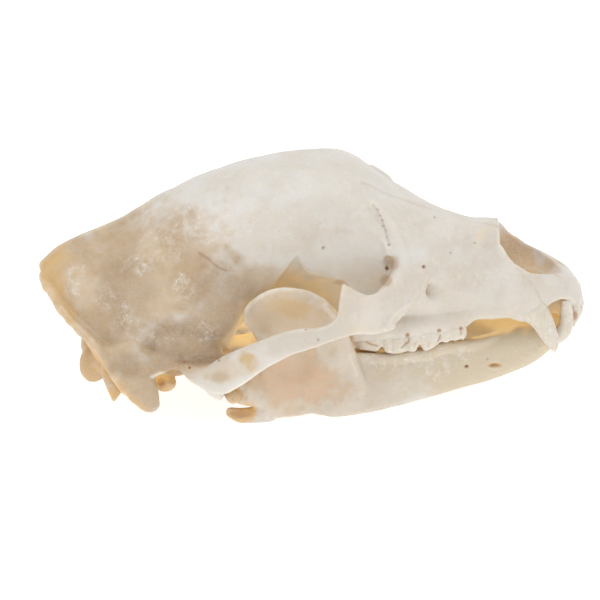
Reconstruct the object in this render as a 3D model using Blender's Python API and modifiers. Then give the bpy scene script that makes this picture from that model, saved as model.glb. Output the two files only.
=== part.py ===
"""Black bear skull at life size, resting on its lower jaw with the teeth closed.

Three bones: the cranium with the upper teeth, and the two halves of the lower jaw with theirs.
The nose points along +X, the skull's left side is +Y and the floor is z = 0.
Sizes are in millimetres until a mesh is made, and each shape is built in the resting pose.
"""
import math

import bmesh
import bpy
import numpy as np
from mathutils import Matrix, Vector

MM = 0.001

# Driving sizes
SYMPHYSIS_HALF_GAP = 0.15  # each jaw half stops this far from the middle plane
OCCLUSAL_SLOPE = 0.129     # rise of the tooth row for each unit of length, nose up
OCCLUSAL_HEIGHT = 26.2     # height of the tooth row's outer edge at x = 0
OCCLUSAL_TILT = 0.2        # rise of the biting surface towards the tongue
OUTER_EDGE = 35            # distance of that outer edge from the middle plane
SOCKET_CLEARANCE = 0.6     # room between the cranium and a jaw condyle
VOXEL = 1.5                # grain of the fused bone before it is thinned out
CRANIUM_PASSES = 5         # how often the fused cranium is eased
JAW_PASSES = 4
CRANIUM_BONE_FACES = 7000
JAW_BONE_FACES = 1500
SIDES = (1, -1)            # left, right

# How finely the shapes are laid out before they are fused
RING_POINTS = 40
CORE_RINGS, MUZZLE_RINGS = 76, 30
ARCH_RINGS, NOSE_RINGS, OPEN_NOSE_RINGS = 70, 20, 40
JAW_RINGS, RAMUS_RINGS = 60, 36
BAR_RINGS, BAR_POINTS = 24, 14
ORBIT_RINGS, ORBIT_POINTS = 40, 36
BALL_SEGMENTS, BALL_RINGS = 24, 14
CROWN_POINTS = 12
CANINE_RINGS, CANINE_POINTS = 10, 12
INCISOR_RINGS, INCISOR_POINTS = 5, 8
# Rounded ends of a bar: share of the section that is left, and how far out it lies
END_CAPS = ((0.8, 0.55), (0.35, 0.9))

# Cranium core: profiles along the skull, each a list of (place along X, value)
CORE_REAR, CORE_MUZZLE, CORE_FRONT = -136.5, 90, 136.5
ROOF = [(-137, 65.5), (-125, 76), (-107, 84.3), (-89, 93.8), (-71, 106.4), (-53, 114.4),
        (-35, 120.4), (-17, 124), (0, 125.4), (12, 124.7), (22, 121), (32, 114.5), (44, 107.8),
        (56, 100.8), (68, 95.3), (80, 92.5), (92, 91.2), (96, 88), (99, 81), (104, 76), (111, 71.5),
        (122, 66.6), (131, 61.8), (137.5, 54)]
BASE = [(-137, 62), (-132, 58), (-126, 52), (-120, 45.5), (-114, 38), (-108, 27), (-102, 21),
        (-80, 23), (-60, 26.5), (-46, 28.5), (-40, 33.5), (-36, 41), (-31, 46), (-24, 46),
        (-10, 43), (5, 40.5), (20, 41), (50, 44.5), (80, 48.5), (110, 51.5), (130, 50), (137, 49)]
HALF_WIDTH = [(-137, 5), (-132, 13), (-126, 26), (-120, 35), (-112, 41.5), (-100, 45), (-80, 45.5),
              (-60, 47.5), (-42, 47), (-22, 42), (-8, 37.5), (5, 35.5), (17, 36.5), (28, 38),
              (36, 40.5), (42, 41), (48, 40), (55, 37.5), (62, 34.5), (76, 30), (92, 26.5),
              (106, 26.5), (118, 26), (126, 22.5), (132, 17.5), (137.5, 8)]
WIDEST_AT = [(-137, 64), (-132, 60), (-126, 52), (-120, 47), (-112, 43), (-100, 38), (-80, 46),
             (-60, 55), (-40, 60), (-22, 70), (-8, 86), (5, 96), (17, 100), (28, 95), (36, 85),
             (42, 80), (48, 77), (55, 72), (62, 66), (76, 59), (100, 56), (137, 53)]
UPPER_FULLNESS = [(-137, 2), (-110, 1.4), (-80, 1.55), (-60, 1.85), (-40, 2.0), (-20, 2.2),
                  (0, 2.4), (15, 2.6), (28, 2.3), (38, 2.0), (50, 1.9), (70, 1.9), (92, 2.2),
                  (99, 3.2), (112, 4.5), (125, 4), (137, 2)]
LOWER_FULLNESS = [(-137, 2), (-110, 3.2), (-80, 3), (-50, 2.6), (-30, 2.6), (-12, 2.8), (2, 3.2),
                  (28, 3.2), (42, 3), (48, 3.0), (70, 4.5), (110, 4.5), (137, 2)]

# Cheek arch: profiles along the skull of its two edges, its middle and its half thickness
ARCH_TOP = [(-70, 36), (-60, 34), (-52, 34.5), (-45, 40), (-37, 46.3), (-24.6, 53.6),
            (-16.8, 57.2), (-4.5, 59.6), (3.9, 59.4), (9, 60.6), (12, 63), (13.6, 67), (14.3, 73),
            (15, 78.4), (17.4, 79), (22, 75.4), (28.8, 71.2), (36, 72.6), (44, 77)]
ARCH_BOTTOM = [(-70, 28), (-60, 25), (-52, 22), (-43.4, 22), (-33.7, 31.4), (-24.6, 38.4),
               (-7.7, 47), (2.6, 49.6), (14.3, 52), (22, 52.2), (33.3, 49.4), (44, 49)]
ARCH_SIDE = [(-70, 52.5), (-60, 57), (-48, 65), (-38, 73), (-26, 79), (-13, 80.5), (2, 78),
             (14, 72), (28, 61.5), (36, 53), (44, 44.5)]
ARCH_HALF_THICKNESS = [(-70, 5), (-60, 6), (-48, 5.2), (-38, 3.6), (-26, 2.8), (-13, 2.6), (2, 2.5),
                       (14, 2.5), (28, 3.2), (36, 4.4), (44, 5)]
ARCH_FULLNESS = 3.6
ARCH_REAR, ARCH_FRONT = -66, 42

# Sagittal crest: places along the skull, how far its middle lies below the roof, and its sizes
SAGITTAL_PLACES = (-134, -125, -115, -104, -92, -82, -72, -62)
SAGITTAL_DEPTH = 2.5
SAGITTAL_HALF_HEIGHT = [4.4, 5, 5, 5, 4.8, 4.4, 3.6, 2]
SAGITTAL_HALF_THICKNESS = [3, 2.6, 2.6, 2.6, 2.6, 3, 3, 3]

# Bars on both sides of the cranium, given for the left one: name, (x, y, z) points, half heights,
# half thicknesses, direction of the height and fullness of the section
CRANIUM_BARS = [
    ("nuchal_crest", [(-133.2, 2, 61.5), (-131, 13, 59.5), (-126, 24, 54.5), (-119.5, 35, 49),
                      (-111.5, 44, 43.5), (-105, 49.5, 38), (-98.5, 53, 29), (-92, 55, 20)],
     [4.6, 3.4, 3.2, 3.2, 3.2, 3.4, 3.6, 4], [3.6, 4.4, 5, 5, 5, 5, 6, 7], (1, 0, 0.9), 2.5),
    ("mastoid", [(-96, 48, 36), (-88.5, 52.5, 25.5), (-82.5, 55, 16), (-80, 56, 11.2)],
     [11, 9.5, 7, 4.8], [7, 6, 5, 3.6], (1, 0, 0.4), 2),
    ("jugular_process", [(-101, 36, 26), (-99.5, 40, 16), (-97.5, 42, 9.6)],
     [6, 4.6, 2.6], [5, 3.4, 2], (1, 0, 0), 2),
    ("cheek_root", [(64, 26.5, 80), (57, 31, 77.5), (50, 36, 71.5), (44, 42, 66.5), (39, 47, 63),
                    (32, 55, 60.5)],
     [3, 6, 10, 11, 12, 11], [3, 4, 5, 5.2, 5, 4.4], (0, 0, 1), 2.6),
    ("orbit_rim", [(30, 30.5, 109), (38, 33.5, 101), (42.8, 36, 91), (45.3, 37.8, 84.5),
                   (45.3, 41.5, 77.5), (41, 47.5, 71)],
     [2.6, 3.4, 3.8, 4, 4, 3.8], [2.6, 3.4, 3.8, 4, 4, 3.8], (0, 1, 0.2), 2),
    ("jaw_socket", [(-45, 33, 30), (-44, 46, 28.5), (-43.5, 58, 27), (-43, 67, 26)],
     [4.6, 5, 5, 4], [6, 7, 7, 5.6], (0, 0, 1), 2),
    ("socket_stop", [(-46.5, 40, 23), (-47, 50, 21), (-46, 62, 20)],
     [6, 5.4, 4.4], [2.6, 2.6, 2.4], (0, 0, 1), 2),
    ("stop_root", [(-62, 57, 31), (-53, 60, 26.5), (-46.5, 61, 21)],
     [2.6, 4, 4.6], [6, 6.5, 5], (0, 0, 1), 2),
    ("ear_shelf", [(-42, 50, 31), (-54, 49, 32), (-70, 49, 32), (-84, 50, 31), (-96, 49, 33)],
     [4, 4, 4.6, 6.5, 7], [12, 11, 8, 7, 7], (0, 0, 1), 2),
    ("fossa_floor", [(-48, 42, 37), (-58, 43, 38), (-72, 44, 40)],
     [4, 7, 8], [7, 10, 9], (0, 0, 1), 2),
    ("tooth_edge", [(20, 28, 42.3), (40, 29, 44.9), (60, 28, 47), (78, 25, 49), (92, 23, 51),
                    (104, 24, 52)],
     [6.3, 6.3, 6, 5, 4.6, 4.4], [6.8, 6.8, 5.8, 4.6, 4, 4], (0, 0, 1), 2.6),
    ("pterygoid", [(12, 15, 42), (0, 14, 39), (-10, 13, 36), (-19, 13, 32)],
     [8, 9, 8, 2.4], [2.4, 2, 1.9, 1.7], (0, 0, 1), 2),
]
# Swellings on both sides, given for the left one: name, centre, radii and turn in degrees
CRANIUM_SWELLINGS = [
    ("occipital_condyle", (-108.6, 16.5, 21.4), (8, 9, 10.6), (20, 20, 0)),
    ("condyle_root", (-103, 17, 24), (10, 12, 9), (0, 0, 0)),
    ("bulla", (-72, 27, 24.5), (14, 13, 6.5), (0, 0, 25)),
    ("ear_tube", (-72, 43, 19.6), (4.6, 7, 5), (0, 0, 0)),
    ("canine_swelling", (104, 22.5, 57), (14, 8.2, 11), (0, 36, 0)),
]
INCISOR_EDGE = [(117, -17, 51), (127.5, -13.5, 48.5), (133.8, -5, 47.5),
                (133.8, 5, 47.5), (127.5, 13.5, 48.5), (117, 17, 51)]
INCISOR_EDGE_HALF_HEIGHT = [4, 4.6, 4.6, 4.6, 4.6, 4]
INCISOR_EDGE_HALF_THICKNESS = [4, 3.6, 3.4, 3.4, 3.6, 4]

# Cutters on both sides for the orbit and the pocket behind it, as bars
ORBIT_CUTTERS = [
    ("behind_orbit", [(-11, 60, 26), (-8.8, 60, 38), (-5.8, 60, 46.5), (-3.2, 60, 53), (-1.8, 60, 58.4),
                      (-0.5, 60, 63.5), (-0.8, 60, 68), (-2.3, 60, 75), (-4.8, 60, 84)],
     [33, 31, 29.5, 27.5, 25, 22.5, 19, 11, 1.5], [33, 33, 33, 32.5, 32, 31.5, 31, 29.5, 26],
     (1, 0, 0), 9),
    ("orbit", [(25, 58, 64), (25, 58, 71), (24.7, 58, 78), (24.7, 58, 85), (26.5, 58, 91),
               (28, 58, 98)],
     [14, 16, 16.7, 16.7, 12.5, 7], [24.5, 24, 23.2, 22.4, 21.5, 20], (1, 0, 0), 5),
]
INFRAORBITAL = ("infraorbital", [(68, 39, 64), (58, 33, 66), (47, 29, 68)],
                [4.8, 4.6, 3.6], [2.4, 2.2, 2], (0, 0, 1), 2)
HOLLOWS = [
    ("lacrimal_pit", (38.6, 38, 77), (3, 6.5, 8), (0, 8, 0)),
    ("canine_notch", (124.5, 21.5, 48.5), (8.5, 8.2, 8), (0, 0, 0)),
    ("ear_opening", (-66, 50, 25.5), (7, 13, 4.4), (8, 0, 0)),
]
PALATE_CENTRE, PALATE_RADII = (66, 0, 44.5), (62, 17, 5)
# Nose: profiles of the inside, which stays under the nasal bones, and of the open front
NOSE_TOP = [(60, 78), (75, 84), (88, 87), (97, 86)]
NOSE_BOTTOM = [(60, 62), (80, 56), (96, 54), (108, 56), (116, 59), (122, 61.5), (127, 64), (130, 66),
               (150, 86)]
NOSE_HALF_WIDTH = [(60, 9), (76, 14.5), (90, 16), (94, 17), (98, 19.6), (103.5, 22.3), (109, 23.2),
                   (114.6, 21.4), (120, 16.5), (124, 12), (128, 8), (134, 6), (150, 5)]
NOSE_FULLNESS, OPEN_NOSE_FULLNESS = 2.6, 3
NOSE_REAR, NASALS_END, OPEN_FROM, NOSE_FRONT = 60, 97, 94.6, 150
OPEN_TOP = [(60, 110), (150, 112)]
MIDDLE = [(60, 0), (150, 0)]
CHOANA = ("choana", [(-34, 0, 34), (-20, 0, 41), (-4, 0, 46.5), (16, 0, 51)],
          [6, 5.5, 5, 4], [9, 9.5, 9, 7], (0, 0, 1), 2)
BRAIN_OPENING = ("brain_opening", [(-128, 0, 30), (-112, 0, 29.5), (-100, 0, 33), (-84, 0, 41)],
                 [11, 8.5, 9, 9], [14, 10.5, 11, 11], (0, 0, 1), 2)
# Places where the bones run into each other more softly: centre, reach and passes
EASED_ZONES = [((-74, 50, 42), 34, 40), ((-46, 44, 44), 16, 30), ((-98, 50, 36), 22, 20),
               ((54, 34, 76), 20, 40), ((38, 40, 92), 14, 8), ((100, 24, 60), 16, 12)]

# Jaw joint: condyle and its neck, as bars of the left side
CONDYLE_AXIS = [(-38.5, 42, 19.6), (-39.5, 52, 18.6), (-39, 63, 18.2)]
CONDYLE_SIZE = [3.8, 5.0, 3.6]
CONDYLE_NECK = [(-39, 53, 17.2), (-32, 51, 16), (-25, 50, 18), (-16, 48.5, 22)]
NECK_HALF_HEIGHT = [4.4, 6.6, 11.5, 14]
NECK_HALF_THICKNESS = [6, 3.6, 2.8, 2.2]

# Lower jaw: profiles along one half, seen from the side and from above
JAW_REAR, JAW_FRONT = -12, 131.5
JAW_TOP = [(-12, 20), (0, 25), (12, 28), (30, 29.4), (46, 31.4), (60, 33), (72, 34.4), (80, 35.5),
           (94, 37.3), (104, 39.5), (114, 41), (122, 41.5), (128, 40.5), (132, 38.5)]
JAW_BOTTOM = [(-12, 2.2), (-4, 3.2), (4, 1.5), (11, -0.5), (20, -0.3), (32, 0.5), (44, 2.3),
              (56, 4.7), (68, 7.1), (80, 9.6), (92, 12), (104, 16), (114, 21), (122, 27.5),
              (128, 32.5), (132, 37)]
JAW_SIDE = [(-12, 45.5), (0, 42), (12, 38.5), (30, 32.5), (50, 26.5), (70, 21), (85, 16.5),
            (98, 12.5), (108, 10.5), (118, 9.2), (126, 8), (132, 7)]
JAW_HALF_THICKNESS = [(-12, 3), (0, 4.6), (12, 5.8), (30, 6.4), (60, 6.3), (80, 6.6), (95, 8),
                      (106, 10.3), (118, 10.3), (126, 9), (132, 6)]
JAW_LEAN = [(-12, 0), (10, 2.5), (30, 4), (60, 3), (90, 0.5), (100, 0)]
JAW_FULLNESS = 2.6
RAMUS_REAR, RAMUS_FRONT = -33.5, 25
RAMUS_TOP = [(-34.5, 57), (-32.5, 61.5), (-27, 67), (-20, 70.3), (-12, 71), (-4, 69.3), (4, 65),
             (11, 59), (17, 49), (20.5, 38), (25, 28)]
RAMUS_BOTTOM = [(-34.5, 55), (-31, 50), (-28, 45.5), (-26, 38), (-25, 22), (-24, 9), (-20, 3.6),
                (-12, 2.4), (0, 3), (25, 4)]
RAMUS_SIDE = [(-34.5, 51.5), (-20, 49.5), (-5, 46), (10, 41.5), (18, 39.5), (25, 35.5)]
RAMUS_HALF_THICKNESS = [(-34.5, 1.6), (-28, 2.4), (-10, 2.7), (10, 3.2), (25, 4)]
RAMUS_FULLNESS = 3
JAW_BARS = [
    ("angle", [(-20, 47.5, 5), (-28, 48, 3.6), (-35, 48.3, 3.6), (-41, 48.5, 5.6)],
     [5, 4.9, 4.2, 2.6], [3.2, 3, 2.8, 2], (0, 0, 1), 2),
    ("ramus_edge", [(24, 36.5, 14), (20, 40, 30), (14.5, 42, 47), (7, 44, 60)],
     [5, 3.4, 2.8, 2.2], [4.4, 3.2, 2.8, 2.4], (1, 0, 0), 2),
]
RAMUS_BACK = ("ramus_back", (-24, 48.5, 14.5), (7, 3, 10), (0, 0, 0))
CHIN_BLOCK = ((60, -40, -20), (150, 0, 80))
FLOOR_BLOCK = ((-150, -100, -30), (150, 100, 0))
FIRST_CUT = SYMPHYSIS_HALF_GAP - 0.4   # the chin is cut here before it is eased, and then at the gap
MASSETER_FOSSA = ("masseter_fossa", (-3, 66, 30), (27, 19.5, 21), (0, 0, -14))

# Teeth: cheek teeth as name, place along X, side, length, width, crown height and cusps
UPPER_CHEEK = [("M2", 34.4, 28.4, 26.8, 13.6, 8.6, 4), ("M1", 55.6, 28.6, 17.6, 13.2, 8.6, 2),
               ("P4", 69.6, 27.2, 11.8, 9.4, 8.2, 1), ("P2", 77.4, 25.2, 5.0, 4.4, 6.4, 1)]
LOWER_CHEEK = [("m3", 24.5, 26.0, 13.0, 9.6, 5.6, 2), ("m2", 40.5, 24.0, 19.4, 10.4, 6.0, 3),
               ("m1", 59.5, 21.6, 19.2, 8.2, 6.6, 3), ("p4", 73.4, 19.6, 8.8, 4.8, 5.8, 1)]
# Levels of a crown as a share of its height, and how far it has swollen there
CROWN_LEVELS = ((0, 0.92), (0.35, 1.0), (0.75, 0.98), (1.0, 0.72))
ROOT_SWELL = 0.78
CROWN_SQUARENESS = 0.45    # 1 is an oval crown, 0 a square one
TOOTH_ROOT = 5.0           # how far a cheek tooth runs into the bone
TOOTH_GAP = 0.2            # half the room between upper and lower cheek teeth
CUSP_DEPTH = 1.3
UPPER_CANINE = [(92, 18, 72), (98, 20, 65), (105, 22.6, 59), (112.3, 25, 51.5), (117.4, 26.8, 42.5),
                (121, 27.4, 34.5), (122.6, 27, 29.2)]
UPPER_CANINE_SIZE = [3.5, 5.2, 6.6, 6.9, 5.2, 3.2, 0.8]
LOWER_CANINE = [(106, 12, 25), (116, 14.8, 32), (123.5, 17.6, 38), (127.4, 19.2, 45),
                (128.6, 19.6, 50), (128.8, 19.6, 52.6)]
LOWER_CANINE_SIZE = [5, 6.2, 5.4, 3.7, 2.9, 1.5]
CANINE_FLATNESS = 0.72     # width of a canine over its depth along the jaw
CANINE_UP = (1, 0, 0.6)    # direction in which that depth is measured
# Incisors of one side: root and tip as (x, y, z) points, half width and half depth
UPPER_INCISORS = [((132.8, 2.8, 52), (136.2, 2.9, 39.5), 2.7, 2.6),
                  ((132.0, 7.7, 52), (135.4, 8.0, 39.3), 2.6, 2.6),
                  ((130.2, 12.4, 52), (133.6, 12.9, 38.1), 2.7, 2.6)]
LOWER_INCISORS = [((125.7, 2.2, 33), (130.2, 2.3, 41.2), 1.8, 2.2),
                  ((125.1, 5.9, 33), (129.6, 6.2, 41.4), 2.0, 2.2),
                  ((123.7, 9.7, 33), (128.2, 10.2, 41.6), 2.1, 2.2)]
INCISOR_WIDTHS = (0.8, 1.0, 0.72)   # shares of the half width at the root, middle and tip
INCISOR_DEPTHS = (1.0, 1.0, 0.45)

BONE_COLOUR = (0.80, 0.74, 0.63, 1.0)
JAW_COLOUR = (0.80, 0.71, 0.57, 1.0)
BONE_ROUGHNESS = 0.55
SHARP_ANGLE = 50


def along(knots, place):
    """Value at a place on the smooth curve through (place, value) knots."""
    places = np.array([knot[0] for knot in knots], float)
    values = np.array([knot[1] for knot in knots], float)
    steps = np.diff(places)
    rises = np.diff(values) / steps
    slopes = np.empty_like(values)
    slopes[1:-1] = (rises[:-1] * steps[1:] + rises[1:] * steps[:-1]) / (steps[1:] + steps[:-1])
    slopes[0], slopes[-1] = rises[0], rises[-1]
    place = min(max(place, places[0]), places[-1])
    i = min(int(np.searchsorted(places, place, side="right")) - 1, len(steps) - 1)
    t = (place - places[i]) / steps[i]
    return float((2 * t**3 - 3 * t**2 + 1) * values[i] + (t**3 - 2 * t**2 + t) * steps[i] * slopes[i]
                 + (3 * t**2 - 2 * t**3) * values[i + 1] + (t**3 - t**2) * steps[i] * slopes[i + 1])


def path_through(points, count):
    """Evenly spaced points on the smooth curve through the given points."""
    points = np.array(points, float)
    lengths = np.concatenate([[0], np.cumsum(np.linalg.norm(np.diff(points, axis=0), axis=1))])
    places = np.linspace(0, lengths[-1], count)
    columns = [[along(list(zip(lengths, column)), s) for s in places] for column in points.T]
    return np.array(columns).T, places / lengths[-1], lengths / lengths[-1]


def closed_mesh(name, rings):
    """Closed object through rings of points, with a fan over each end."""
    rings = np.array(rings, float)
    count, around, _ = rings.shape
    points = rings.reshape(-1, 3)
    ends = [rings[0].mean(axis=0), rings[-1].mean(axis=0)]
    points = np.vstack([points, ends]) * MM
    faces = []
    for ring in range(count - 1):
        for k in range(around):
            a, b = ring * around + k, ring * around + (k + 1) % around
            faces.append((a, b, b + around, a + around))
    first, last = count * around, count * around + 1
    top = (count - 1) * around
    for k in range(around):
        faces.append((first, (k + 1) % around, k))
        faces.append((last, top + k, top + (k + 1) % around))
    mesh = bpy.data.meshes.new(name)
    mesh.from_pydata(points.tolist(), [], faces)
    return tidy_object(name, mesh)


def tidy_object(name, mesh):
    """Object in the model's collection whose faces all point out."""
    shell = bmesh.new()
    shell.from_mesh(mesh)
    bmesh.ops.recalc_face_normals(shell, faces=shell.faces)
    if shell.calc_volume(signed=True) < 0:
        bmesh.ops.reverse_faces(shell, faces=shell.faces)
    shell.to_mesh(mesh)
    shell.free()
    piece = bpy.data.objects.new(name, mesh)
    model.objects.link(piece)
    return piece


def section(centre_y, centre_z, half_width, up, down, upper, lower, count=RING_POINTS):
    """Rounded section in the YZ plane, with its own height and fullness above and below."""
    points = []
    for k in range(count):
        angle = 2 * math.pi * (k + 0.5) / count
        sine, cosine = math.sin(angle), math.cos(angle)
        power = 2 / (upper if cosine > 0 else lower)
        reach = up if cosine > 0 else down
        points.append((centre_y + half_width * math.copysign(abs(sine) ** power, sine),
                       centre_z + reach * math.copysign(abs(cosine) ** power, cosine)))
    return points


def swept(name, points, half_heights, half_thicknesses, up=(0, 0, 1), count=BAR_RINGS,
          around=BAR_POINTS, fullness=2):
    """Closed bar of oval section along a smooth path, with rounded ends."""
    path, shares, knots = path_through(points, count)
    heights = [along(list(zip(knots, half_heights)), s) for s in shares]
    widths = [along(list(zip(knots, half_thicknesses)), s) for s in shares]
    headings = np.gradient(path, axis=0)
    rings = []
    for i, centre in enumerate(path):
        forward = Vector(headings[i]).normalized()
        side = forward.cross(Vector(up)).normalized()
        rise = side.cross(forward)
        outline = section(0, 0, widths[i], heights[i], heights[i], fullness, fullness, around)
        rings.append([tuple(Vector(centre) + rise * z + side * y) for y, z in outline])
    first, last = [], []
    for end, inner, caps in ((0, 1, first), (-1, -2, last)):
        centre = Vector(path[end])
        out = (centre - Vector(path[inner])).normalized() * min(heights[end], widths[end])
        for share, reach in END_CAPS:
            caps.append([tuple(centre + (Vector(p) - centre) * share + out * reach) for p in rings[end]])
    return closed_mesh(name, first[::-1] + rings + last)


def upright(name, places, top, bottom, middle, half, fullness, lean=None, side=1):
    """Closed plate whose edges, middle and half thickness follow profiles along the skull."""
    rings = []
    for x in places:
        high, low = along(top, x), along(bottom, x)
        reach = (high - low) / 2
        outline = section(along(middle, x), low + reach, along(half, x), reach, reach, fullness, fullness)
        shift = along(lean, x) if lean else 0
        rings.append([(x, (y - shift * (z - low) / (high - low)) * side, z) for y, z in outline])
    return closed_mesh(name, rings)


def ball(name, centre, radii, turn=(0, 0, 0)):
    """Closed ellipsoid, turned by three angles in degrees."""
    mesh = bpy.data.meshes.new(name)
    shell = bmesh.new()
    bmesh.ops.create_uvsphere(shell, u_segments=BALL_SEGMENTS, v_segments=BALL_RINGS, radius=1)
    turned = Matrix.Rotation(math.radians(turn[2]), 4, "Z") @ Matrix.Rotation(
        math.radians(turn[1]), 4, "Y") @ Matrix.Rotation(math.radians(turn[0]), 4, "X")
    placed = Matrix.Translation(Vector(centre) * MM) @ turned @ Matrix.Diagonal(
        (radii[0] * MM, radii[1] * MM, radii[2] * MM, 1))
    bmesh.ops.transform(shell, matrix=placed, verts=shell.verts)
    shell.to_mesh(mesh)
    shell.free()
    return tidy_object(name, mesh)


def block(name, low, high):
    """Closed box between two corners."""
    mesh = bpy.data.meshes.new(name)
    shell = bmesh.new()
    bmesh.ops.create_cube(shell, size=1)
    low, high = Vector(low) * MM, Vector(high) * MM
    size = high - low
    bmesh.ops.transform(shell, matrix=Matrix.Translation((low + high) / 2) @ Matrix.Diagonal(
        (size.x, size.y, size.z, 1)), verts=shell.verts)
    shell.to_mesh(mesh)
    shell.free()
    return tidy_object(name, mesh)


def mirrored(points, side):
    """The same points on the left side (1) or the right side (-1)."""
    return [(x, y * side, z) for x, y, z in points]


def bar(entry, side=1, count=BAR_RINGS, around=BAR_POINTS):
    """Swept bar from a line of a table, on one side."""
    name, points, half_heights, half_thicknesses, up, fullness = entry
    return swept(name, mirrored(points, side), half_heights, half_thicknesses, up, count, around, fullness)


def swelling(entry, side=1):
    """Ellipsoid from a line of a table, on one side."""
    name, (x, y, z), radii, (roll, pitch, yaw) = entry
    return ball(name, (x, y * side, z), radii, (roll * side, pitch, yaw * side))


def apply_modifiers(piece):
    """Keep the object's evaluated mesh and drop its modifiers."""
    bpy.context.view_layer.update()
    graph = bpy.context.evaluated_depsgraph_get()
    mesh = bpy.data.meshes.new_from_object(piece.evaluated_get(graph))
    piece.modifiers.clear()
    old = piece.data
    piece.data = mesh
    bpy.data.meshes.remove(old)


def remove_pieces(pieces):
    """Remove objects that a Boolean has used."""
    for piece in pieces:
        bpy.data.objects.remove(piece, do_unlink=True)


def combine(body, pieces, operation):
    """One Boolean of a body with a collection of closed pieces, which are then removed."""
    group = bpy.data.collections.new("pieces")
    bpy.context.scene.collection.children.link(group)
    for piece in pieces:
        model.objects.unlink(piece)
        group.objects.link(piece)
    step = body.modifiers.new("combine", "BOOLEAN")
    step.operation = operation
    step.operand_type = "COLLECTION"
    step.collection = group
    step.solver = "MANIFOLD"
    apply_modifiers(body)
    remove_pieces(pieces)
    bpy.data.collections.remove(group)


def soften(body, voxel, passes):
    """Rebuild the surface on an even grain and ease its creases."""
    grain = body.modifiers.new("grain", "REMESH")
    grain.mode = "VOXEL"
    grain.voxel_size = voxel * MM
    ease = body.modifiers.new("ease", "SMOOTH")
    ease.factor = 0.5
    ease.iterations = passes
    apply_modifiers(body)


def ease_round(body, centre, reach, passes):
    """Ease the surface more within reach of a point and of its mirror image."""
    places = np.empty(len(body.data.vertices) * 3)
    body.data.vertices.foreach_get("co", places)
    places = places.reshape(-1, 3) / MM
    places[:, 1] = abs(places[:, 1])
    shares = 1 - (np.linalg.norm(places - np.array(centre), axis=1) / reach) ** 2
    zone = body.vertex_groups.new(name="zone")
    for index in np.where(shares > 0)[0]:
        zone.add([int(index)], float(shares[index]), "REPLACE")
    ease = body.modifiers.new("ease", "SMOOTH")
    ease.factor = 0.5
    ease.iterations = passes
    ease.vertex_group = zone.name
    apply_modifiers(body)
    body.vertex_groups.clear()


def thin_out(body, faces):
    """Bring a triangle mesh down to a number of faces, more alike where it is flat."""
    triangles = body.modifiers.new("triangles", "TRIANGULATE")
    triangles.quad_method = "BEAUTY"
    apply_modifiers(body)
    fewer = body.modifiers.new("fewer", "DECIMATE")
    fewer.ratio = min(1.0, faces / len(body.data.polygons))
    apply_modifiers(body)


def box_volume(group):
    """Room in the upright box round a group of vertices."""
    places = np.array([v.co[:] for v in group])
    return float(np.prod(places.max(axis=0) - places.min(axis=0)))


def keep_largest(body):
    """Keep only the closed surface with the most room inside."""
    shell = bmesh.new()
    shell.from_mesh(body.data)
    left = set(shell.verts)
    groups = []
    while left:
        group, front = set(), [left.pop()]
        while front:
            vertex = front.pop()
            group.add(vertex)
            for edge in vertex.link_edges:
                other = edge.other_vert(vertex)
                if other in left:
                    left.remove(other)
                    front.append(other)
        groups.append(group)
    groups.sort(key=box_volume)
    for group in groups[:-1]:
        bmesh.ops.delete(shell, geom=list(group), context="VERTS")
    shell.to_mesh(body.data)
    shell.free()


def cranium_core():
    """Braincase, forehead and muzzle as one loft along the skull."""
    rings = []
    places = np.concatenate([np.linspace(CORE_REAR, CORE_MUZZLE, CORE_RINGS),
                             np.linspace(CORE_MUZZLE + 2, CORE_FRONT, MUZZLE_RINGS)])
    for x in places:
        level = along(WIDEST_AT, x)
        up = max(along(ROOF, x) - level, 1)
        down = max(level - along(BASE, x), 1)
        outline = section(0, level, along(HALF_WIDTH, x), up, down,
                          along(UPPER_FULLNESS, x), along(LOWER_FULLNESS, x))
        rings.append([(x, y, z) for y, z in outline])
    return closed_mesh("cranium", rings)


def cranium_pieces():
    """Everything that is joined to the core: crests, processes, arches, sockets and tooth edges."""
    ridge = [(x, 0, along(ROOF, x) - SAGITTAL_DEPTH) for x in SAGITTAL_PLACES]
    pieces = [swept("sagittal_crest", ridge, SAGITTAL_HALF_HEIGHT, SAGITTAL_HALF_THICKNESS)]
    pieces.append(swept("incisor_edge", INCISOR_EDGE, INCISOR_EDGE_HALF_HEIGHT,
                        INCISOR_EDGE_HALF_THICKNESS))
    for side in SIDES:
        pieces += [bar(entry, side) for entry in CRANIUM_BARS]
        pieces += [swelling(entry, side) for entry in CRANIUM_SWELLINGS]
        pieces.append(upright("arch", np.linspace(ARCH_REAR, ARCH_FRONT, ARCH_RINGS), ARCH_TOP, ARCH_BOTTOM,
                              ARCH_SIDE, ARCH_HALF_THICKNESS, ARCH_FULLNESS, side=side))
    return pieces


def orbit_hollows():
    """Cutters for the orbits and the pockets behind them."""
    return [bar(entry, side, ORBIT_RINGS, ORBIT_POINTS) for side in SIDES for entry in ORBIT_CUTTERS]


def cranium_hollows():
    """Cutters for the nose, the palate, the ear openings and the brain's opening."""
    pieces = [ball("palate_arch", PALATE_CENTRE, PALATE_RADII)]
    for side in SIDES:
        pieces += [swelling(entry, side) for entry in HOLLOWS]
        pieces.append(bar(INFRAORBITAL, side))
    pieces.append(upright("nose", np.linspace(NOSE_REAR, NASALS_END, NOSE_RINGS), NOSE_TOP,
                          NOSE_BOTTOM, MIDDLE, NOSE_HALF_WIDTH, NOSE_FULLNESS))
    pieces.append(upright("nose_front", np.linspace(OPEN_FROM, NOSE_FRONT, OPEN_NOSE_RINGS), OPEN_TOP,
                          NOSE_BOTTOM, MIDDLE, NOSE_HALF_WIDTH, OPEN_NOSE_FULLNESS))
    pieces += [bar(CHOANA), bar(BRAIN_OPENING)]
    return pieces


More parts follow.
